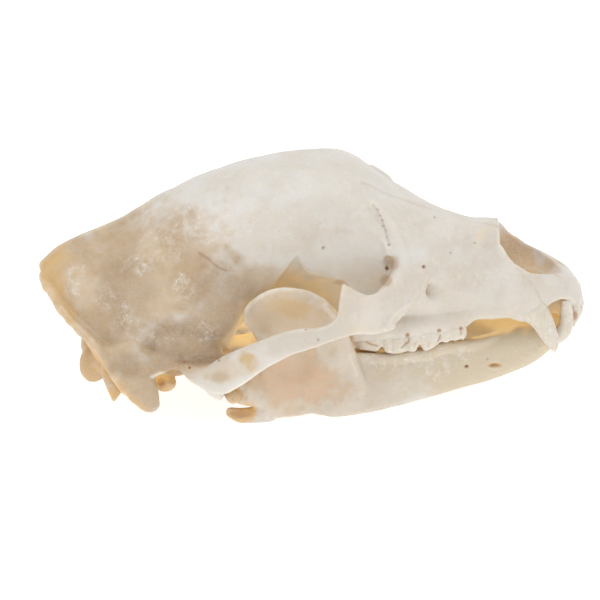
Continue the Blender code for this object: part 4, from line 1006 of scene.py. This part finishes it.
class Surface:
    """A body's points with the relief and the tints that are gathered for it."""

    def __init__(self, body):
        self.body = body
        self.places = points_of(body)
        self.normals = read(body.data.vertex_normals, "vector", 3)
        self.side = abs(self.places[:, 1])
        self.seen = np.stack([self.places[:, 0], seen_height(self.places)], axis=1)
        outward = np.where(self.places[:, 1] > 0, self.normals[:, 1], -self.normals[:, 1])
        towards = outward * math.cos(VIEW_TILT) + self.normals[:, 2] * math.sin(VIEW_TILT)
        self.facing = ramp(towards, 0.02, 0.3)
        self.ragged = 1 + 0.3 * grain_noise(self.places, 6, 91) + 0.15 * grain_noise(self.places, 2.5, 92)
        self.push = np.zeros(len(self.places))
        # Darkness of seams, and painted shade inside holes
        self.dark = np.zeros(len(self.places))
        # Painted highlight on edges, gathered from the lines
        self.edge_highlight = np.zeros(len(self.places))

    def within(self, low, high):
        """1 between two distances from the middle plane, fading over 2 mm at each."""
        return ramp(self.side, low - 1, low + 1) * (1 - ramp(self.side, high - 1, high + 1)) * self.facing

    def line(self, line, width, height, wandering, low, high, dark, seed):
        """A ridge or groove along a line in the side view, with a dark seam or a painted highlight along
        it.
        """
        path = wavy(line, wandering, seed) if wandering else path_through(line, 24)[0]
        away = line_distance(self.seen, path, width * 3)
        share = np.exp(-(away / width) ** 2) * self.within(low, high)
        self.push += height * share
        # A dark seam along the line, or where its darkness is below 0 a painted highlight
        self.dark = np.maximum(self.dark, dark * share)
        self.edge_highlight = np.maximum(self.edge_highlight, -dark * share)

    def hole(self, x, h, wide, tall, depth, dark):
        """A small hole with a soft edge in the side view, with painted shade inside it."""
        away = np.hypot((self.seen[:, 0] - x) / wide, (self.seen[:, 1] - h) / tall)
        share = np.exp(-away ** 4) * self.facing
        self.push -= depth * share
        # Painted shade inside the hole
        self.dark = np.maximum(self.dark, dark * np.exp(-(away / 1.2) ** 4) * self.facing)

    def stroke(self, line, width):
        """Strength of a tint that fades out from a line in the side view."""
        return np.exp(-(line_distance(self.seen, line, width * 3) / width / self.ragged) ** 2)

    def zone(self, zones):
        """Strength of a tint that fades out from the given places in the side view."""
        total = np.zeros(len(self.places))
        for x, h, wide, tall, strength, *reach in zones:
            low, high = reach or DEPTH_OF_TINTS
            away = np.hypot((self.seen[:, 0] - x) / wide, (self.seen[:, 1] - h) / tall) * self.ragged
            inside = ramp(self.side, low - 3, low + 3) if low else 1
            inside = inside * (1 - ramp(self.side, high - 3, high + 3))
            total = np.maximum(total, strength * (1 - ramp(away, 0.45, 1.15)) * inside)
        return total

    def rough(self, size, height, seed):
        """Uneven surface with lumps of one size."""
        self.push += height * grain_noise(self.places, size, seed)

    def apply(self):
        """Move the points by the gathered relief, and keep them inside the model's box."""
        self.places += self.normals * self.push[:, None]
        self.places *= SHRINK
        self.places = np.clip(self.places, BOX_LOW + BOX_MARGIN, BOX_HIGH - BOX_MARGIN)
        self.body.data.vertices.foreach_set("co", (self.places * MM).ravel())
        self.body.data.update()

    def paint(self, name, values):
        """Store a tint's strength on the points."""
        layer = self.body.data.attributes.new(name, "FLOAT", "POINT")
        layer.data.foreach_set("value", np.clip(values, 0, 1).astype(np.float32))


def light_and_thickness(surface, tree, draw):
    """How open each place is to the room, and how thick the bone under it is, in millimetres."""
    cells = np.floor(surface.places / LIGHT_CELL).astype(np.int64)
    keys = (cells * HASH).sum(axis=1) * 8
    keys += ((surface.normals > 0) * np.array([1, 2, 4])).sum(axis=1)
    _, first, cell_of = np.unique(keys, return_index=True, return_inverse=True)
    cell_of = cell_of.ravel()
    openness, thickness = np.empty(len(first)), np.empty(len(first))
    rays = draw.normal(size=(RAY_COUNT, 3))
    rays /= np.linalg.norm(rays, axis=1)[:, None]
    for i, point in enumerate(first.tolist()):
        normal = surface.normals[point]
        start = Vector((surface.places[point] + normal * RAY_START) * MM)
        pick = i * 7 % (RAY_COUNT - RAYS_EACH)
        hits = sum(tree.ray_cast(start, Vector(ray), RAY_REACH * MM)[0] is not None
                   for ray in rays[pick:pick + RAYS_EACH] + normal * 1.02)
        openness[i] = 1 - hits / RAYS_EACH
        inner = Vector((surface.places[point] - normal * 0.1) * MM)
        through = tree.ray_cast(inner, Vector(-normal), THICKNESS_REACH * MM)[3]
        thickness[i] = through / MM if through is not None else THICKNESS_REACH
    ends = edges_of(surface.body)
    return spread_out(openness[cell_of], ends, OPENNESS_SPREAD), spread_out(thickness[cell_of], ends, 4)


def curvature_of(surface, passes):
    """How much the surface bulges (above 0) or is hollow (below 0) at each place."""
    ends = edges_of(surface.body)
    pulled = np.stack([spread_out(surface.places[:, k], ends, passes) for k in range(3)], axis=1)
    return ((surface.places - pulled) * surface.normals).sum(axis=1)


class Shader:
    """A bone or tooth material whose colour, gloss and fine relief come from nodes."""

    def __init__(self, name):
        self.material = bpy.data.materials.new(name)
        self.material.use_nodes = True
        self.tree = self.material.node_tree
        self.principled = self.tree.nodes["Principled BSDF"]
        self.spot = self.node("TexCoord", {}).outputs["Object"]

    def node(self, kind, inputs):
        """New node with the given inputs."""
        node = self.tree.nodes.new("ShaderNode" + kind)
        self.feed(node, inputs)
        return node

    def feed(self, node, inputs):
        """Give inputs of a node another node's socket, a number or a colour each."""
        for name, value in inputs.items():
            if isinstance(value, bpy.types.NodeSocket):
                self.tree.links.new(value, node.inputs[name])
            else:
                node.inputs[name].default_value = value

    def attribute(self, name):
        """Strength of a painted tint."""
        node = self.node("Attribute", {})
        node.attribute_name = name
        return node.outputs["Fac"]

    def noise(self, size, detail=4, roughness=0.55, distortion=0.0, stretch=None):
        """Noise from 0 to 1 with lumps of about a size in millimetres."""
        spot = self.spot
        if stretch:
            spot = self.node("Mapping", {"Vector": spot, "Scale": stretch}).outputs["Vector"]
        return self.node("TexNoise", {"Vector": spot, "Scale": 1 / (size * MM), "Detail": detail,
                                      "Roughness": roughness, "Distortion": distortion}).outputs["Fac"]

    def cells(self, size):
        """Distance from the nearest of scattered points a size apart, for pores."""
        return self.node("TexVoronoi", {"Vector": self.spot, "Scale": 1 / (size * MM)}).outputs["Distance"]

    def times(self, first, second):
        """Product of two values, kept between 0 and 1."""
        node = self.node("Math", {0: first, 1: second})
        node.operation = "MULTIPLY"
        node.use_clamp = True
        return node.outputs[0]

    def scaled(self, value, low, high, first=0, last=1):
        """Smooth change from one number to another as the value goes from low to high."""
        node = self.node("MapRange", {"Value": value, "From Min": low, "From Max": high,
                                      "To Min": first, "To Max": last})
        node.interpolation_type = "SMOOTHSTEP"
        return node.outputs["Result"]

    def mixed(self, share, below, above):
        """One colour over another by a share."""
        node = self.node("Mix", {})
        node.data_type = "RGBA"
        under, over = (i for i, socket in enumerate(node.inputs) if socket.type == "RGBA")
        self.feed(node, {"Factor": share, under: below, over: above})
        return next(socket for socket in node.outputs if socket.type == "RGBA")

    def tinted(self, below, tint, above, pattern=None):
        """A colour over another by a painted tint, which a pattern can break up."""
        share = self.attribute(tint)
        return self.mixed(self.times(share, self.scaled(*pattern)) if pattern else share, below, above)

    def bump(self, height, distance, strength, under=None):
        """Fine relief, on top of another if one is given."""
        inputs = {"Height": height, "Distance": distance * MM, "Strength": strength}
        if under:
            inputs["Normal"] = under
        return self.node("Bump", inputs).outputs["Normal"]

    def finish(self, colour, gloss, normal, translucence):
        """Join the parts to the surface shader, with a painted glow, made by emission, standing in for the
        light that thin bone lets into recesses.
        """
        self.feed(self.principled, {
            "Base Color": colour, "Roughness": gloss, "Normal": normal,
            "Subsurface Weight": translucence, "Subsurface Radius": (1.0, 0.6, 0.32),
            # The emission is painted light, not a lamp
            "Subsurface Scale": LIGHT_DEPTH * MM, "Emission Color": tone(*GLOW_TONE),
            "Emission Strength": self.times(self.attribute("glow"), RECESS_GLOW)})
        return self.material


def tone(red, green, blue):
    """Colour from its display values out of 255."""
    return tuple(((c / 255 + 0.055) / 1.055) ** 2.4 for c in (red, green, blue)) + (1.0,)


def bone_material():
    """Dry bleached bone: chalky white over tan, with painted light: cream where it is thin, warmer in
    recesses, lighter on bulging edges, sheen on chalky patches; and painted shade, darker in its pits,
    holes and hollows.
    """
    net = Shader("bone")
    broad = net.noise(22, 3)
    mottle = net.noise(5.5, 5, 0.62, 0.6)
    fine = net.noise(1.3, 4, 0.6)
    streaks = net.noise(3, 4, 0.6, 0.4, (0.3, 1, 1))
    colour = net.mixed(net.scaled(broad, 0.35, 0.65), tone(217, 213, 206), tone(211, 204, 193))
    colour = net.mixed(net.scaled(mottle, 0.42, 0.75, 0, 0.5), colour, tone(223, 220, 215))
    warm = net.mixed(net.scaled(broad, 0.4, 0.6), tone(203, 180, 148), tone(188, 162, 128))
    for tint, above, pattern in (
            ("tan", warm, (mottle, 0.3, 0.62, 1, 0.82)),
            ("brown", tone(142, 116, 90), (fine, 0.3, 0.7, 1, 0.6)),
            ("pink", tone(208, 176, 148), (streaks, 0.35, 0.65, 1, 0.35)),
            ("grey", tone(204, 197, 184), None),
            ("straw", tone(203, 187, 158), None),
            # Painted light shining through thin bone: cream
            ("thin", tone(228, 206, 164), None),
            # Painted light bounced into recesses: warmer and lighter
            ("recess_shading", tone(232, 211, 172), None),
            ("ochre", tone(216, 174, 104), (fine, 0.25, 0.7, 1, 0.6)),
            ("stain", tone(200, 168, 108), (mottle, 0.3, 0.6, 0.6, 1)),
            ("dun", tone(178, 146, 112), None),
            # Painted highlight on bulging edges: lighter
            ("edge_highlight", tone(228, 221, 205), None)):
        colour = net.tinted(colour, tint, above, pattern)
    # Chalky patches partly painted sheen, with bright flecks that are painted glints
    chalk_and_sheen = net.times(net.attribute("chalk_and_sheen"), net.scaled(net.noise(4, 6, 0.78), 0.42, 0.66))
    sheen_flecks = net.times(chalk_and_sheen, net.scaled(net.noise(1.5, 3, 0.7), 0.55, 0.65))
    specks = net.times(net.scaled(net.cells(3.4), 0.10, 0.05), net.scaled(mottle, 0.5, 0.62))
    for share, strength, above in ((chalk_and_sheen, 0.6, tone(226, 219, 210)), (sheen_flecks, 0.9, tone(236, 231, 224)),
                                   (specks, 0.45, tone(150, 112, 74))):
        colour = net.mixed(net.times(share, strength), colour, above)
    # Dark seams, and painted shade in holes, hollows and gaps between teeth
    colour = net.tinted(colour, "dark", tone(146, 84, 28))
    gloss = net.scaled(net.noise(2.2, 5, 0.7, 0.3), 0.35, 0.7, 0.55, 0.32)
    normal = net.bump(net.noise(3.2, 4, 0.6), 0.6, 0.6)
    normal = net.bump(fine, 0.3, 0.8, normal)
    normal = net.bump(net.noise(1.1, 3, 0.5, 0, (0.25, 1, 1)), 0.16, 0.7, normal)
    return net.finish(colour, gloss, normal, 0.25)


def enamel_material():
    """Tooth enamel: smooth and off-white, with painted glints, and painted shade that is tan near the bone
    and in its grooves and brown in its hollows and gaps.
    """
    net = Shader("enamel")
    cloud = net.noise(4.5, 3)
    streaks = net.scaled(net.noise(2.4, 4, 0.6, 0.5, (1, 1, 0.4)), 0.45, 0.72)
    glints = net.scaled(net.noise(2.2, 3, 0.7), 0.55, 0.66)
    colour = net.mixed(net.scaled(cloud, 0.35, 0.7), tone(211, 202, 186), tone(215, 208, 195))
    colour = net.mixed(net.times(streaks, 0.35), colour, tone(204, 188, 164))
    colour = net.mixed(net.times(glints, 0.7), colour, tone(228, 225, 217))
    # Painted shade: tan where little of the room is seen, brown in hollows, along seams and in gaps
    # between crowns
    colour = net.tinted(colour, "recess_shading", tone(206, 168, 118))
    colour = net.tinted(colour, "dark", tone(170, 106, 44))
    gloss = net.scaled(cloud, 0.3, 0.7, 0.22, 0.34)
    return net.finish(colour, gloss, net.bump(net.noise(1.6, 3), 0.14, 0.5), 0.2)


def set_floor():
    """White floor that glows a little."""
    disc = bmesh.new()
    bmesh.ops.create_circle(disc, cap_ends=True, segments=96, radius=FLOOR_RADIUS)
    mesh = bpy.data.meshes.new("floor")
    disc.to_mesh(mesh)
    disc.free()
    white = bpy.data.materials.new("floor_white")
    white.use_nodes = True
    inputs = white.node_tree.nodes["Principled BSDF"].inputs
    inputs["Base Color"].default_value = FLOOR_TONE
    inputs["Roughness"].default_value = FLOOR_ROUGHNESS
    inputs["Emission Color"].default_value = WHITE
    inputs["Emission Strength"].default_value = FLOOR_GLOW
    mesh.materials.append(white)
    floor = linked("floor", mesh)


def set_lights():
    """Even white surroundings and a large soft light."""
    world = bpy.data.worlds.new("studio")
    world.use_nodes = True
    inputs = world.node_tree.nodes["Background"].inputs
    inputs["Color"].default_value = WHITE
    inputs["Strength"].default_value = SURROUND_STRENGTH
    bpy.context.scene.world = world
    lamp = bpy.data.lights.new("softbox", "AREA")
    lamp.shape = "DISK"
    lamp.size = LAMP_SIZE
    lamp.energy = LAMP_ENERGY
    light = linked("softbox", lamp)
    light.location = LAMP_PLACE
    light.rotation_euler = Vector(LAMP_FACING).to_track_quat("Z", "Y").to_euler()


def set_camera():
    """The photograph's camera: at the side, a little above, with a long lens."""
    camera = bpy.data.cameras.new("camera")
    camera.sensor_width = SENSOR
    camera.lens = SENSOR * CAMERA_DISTANCE / IMAGE_WIDTH
    camera.clip_end = 100
    eye = linked("camera", camera)
    forward = Vector((0, math.cos(VIEW_TILT), -math.sin(VIEW_TILT)))
    up = Vector((0, math.sin(VIEW_TILT), math.cos(VIEW_TILT)))
    eye.location = (Vector((AIM_RIGHT, 0, 0)) + up * AIM_UP - forward * CAMERA_DISTANCE) * MM
    eye.rotation_euler = (math.pi / 2 - VIEW_TILT, 0, 0)
    bpy.context.scene.camera = eye
    bpy.context.scene.view_settings.view_transform = "Standard"


def dress(piece, node, material):
    """Give a piece its material and smooth shading, attach it to the root body, and hide the CAD node it
    stands for.
    """
    piece.data.materials.clear()
    piece.data.materials.append(material)
    piece.data.shade_smooth()
    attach(piece, "root")
    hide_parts(node)


def detail(surface, lines, holes, seed):
    """Ridges, grooves, sutures and holes of a body."""
    for index, (line, width, height, wandering, low, high, dark) in enumerate(lines):
        surface.line(line, width, height, wandering, low, high, dark, seed + 10 + index)
    for hole in holes:
        surface.hole(*hole)


def tint_bone(surface, tree, draw, zones):
    """Tints of a bone from its shape and from where they lie in the photograph; those from its shape are
    painted light and shade.
    """
    openness, thickness = light_and_thickness(surface, tree, draw)
    bulge = curvature_of(surface, 6)
    solid = surface.zone(zones.get("solid", []))
    # Painted light shining through thin bone, left out in the solid zones
    surface.paint("thin", (1 - ramp(thickness, 1.6, 4.6)) * 0.7 * (1 - solid))
    # Painted light and shade in recesses, by how little of the room each place sees
    surface.paint("recess_shading", (1 - ramp(openness, 0.12, 0.62)) * (1 - surface.zone(NO_RECESS_SHADING)))
    # Painted glow: emission where a place sees little of the room, in the listed zones
    far = surface.zone(FAR_GLOW_ZONES) * (surface.places[:, 1] > 0)
    surface.paint("glow", (1 - ramp(openness, 0.1, 0.6)) * np.maximum(surface.zone(GLOW_ZONES), far))
    # Painted highlight on bulging edges
    surface.paint("edge_highlight", np.maximum(ramp(bulge, 0.05, 0.22) * 0.4, surface.edge_highlight))
    # Painted shade in hollows, by how hollow the surface is
    dark = np.maximum(surface.dark, ramp(-bulge, 0.10, 0.30) * 0.25)
    # Painted shade in the gaps between teeth, where little of the room is seen
    surface.paint("dark", np.maximum(dark, surface.zone(GAP_SHADE_ZONES) * (1 - ramp(openness, *OPEN_GAP))))
    inward = np.where(surface.places[:, 1] > 0, -surface.normals[:, 1], surface.normals[:, 1])
    # Ochre on inward faces inside the nose: stain and painted bounce light
    nose_inside = ramp(inward, 0.1, 0.5) * surface.zone(NOSE_INSIDE_ZONES)
    for name in BONE_TINTS:
        values = surface.zone(zones.get(name, []))
        if name == "ochre":
            edge = np.maximum(surface.stroke(CREST_EDGE, 2.6) * 0.7, surface.stroke(CREST_LIP, 5) * 0.8)
            values = np.maximum(values, np.maximum(nose_inside * 0.75, edge))
        surface.paint(name, values)


def tint_teeth(surface, tree, draw):
    """Tints of teeth: painted shade near the bone, in the grooves between cusps and in the gaps between
    crowns, with a painted glow in those gaps.
    """
    openness, _ = light_and_thickness(surface, tree, draw)
    bulge = curvature_of(surface, 8)
    # Painted shade where little of the room is seen, in hollows and in gaps, and painted glow in the gaps
    surface.paint("recess_shading", 1 - ramp(openness, 0.05, 0.4))
    dark = np.maximum(surface.dark, ramp(-bulge, 0.08, 0.2) * 0.5)
    gaps = surface.zone(GAP_SHADE_ZONES) * (1 - ramp(openness, *OPEN_GAP))
    surface.paint("dark", np.maximum(dark, gaps))
    surface.paint("glow", gaps * GAP_GLOW)


set_floor()
set_lights()
set_camera()
bone, enamel = bone_material(), enamel_material()
draw = np.random.default_rng(3)
pores = [(x, h, 0.25 + 0.35 * draw.random(), 0.25 + 0.3 * draw.random(), 0.5, 0.7) for x, h in RIM_PORES]
bones = [(build_cranium(), "cranium", "cranium_bone", CRANIUM_LINES, CRANIUM_HOLES + TOOTH_HOLES + pores,
          CRANIUM_ZONES)]
teeth = [(upper_teeth(), "cranium", "cranium_bone")]
for side, node in zip(SIDES, ("mandible_left", "mandible_right")):
    bones.append((build_jaw(side), node, "jaw_bone", JAW_LINES, JAW_HOLES, JAW_ZONES))
    teeth.append((lower_teeth(side), node, "jaw_bone"))

everything = bmesh.new()
bone_surfaces = []
for piece, node, slot, lines, holes, zones in bones:
    surface = Surface(piece)
    for size, height in UNEVENNESS:
        surface.rough(size, height, 7)
    surface.push += surface.stroke(CREST_EDGE, 5) * grain_noise(surface.places, 4.5, 31) * CREST_ROUGHNESS
    detail(surface, lines, holes, 20)
    surface.apply()
    bone_surfaces.append(surface)
tooth_surfaces = [Surface(entry[0]) for entry in teeth]
for surface in tooth_surfaces:
    surface.rough(*CROWN_UNEVENNESS, 7)
    detail(surface, TOOTH_LINES, TOOTH_HOLES, 80)
    surface.apply()
for surface in bone_surfaces + tooth_surfaces:
    everything.from_mesh(surface.body.data)
tree = BVHTree.FromBMesh(everything)
everything.free()
for surface, (piece, node, slot, lines, holes, zones) in zip(bone_surfaces, bones):
    tint_bone(surface, tree, draw, zones)
    dress(piece, node, bone)
for surface, (piece, node, slot) in zip(tooth_surfaces, teeth):
    tint_teeth(surface, tree, draw)
    dress(piece, node, enamel)
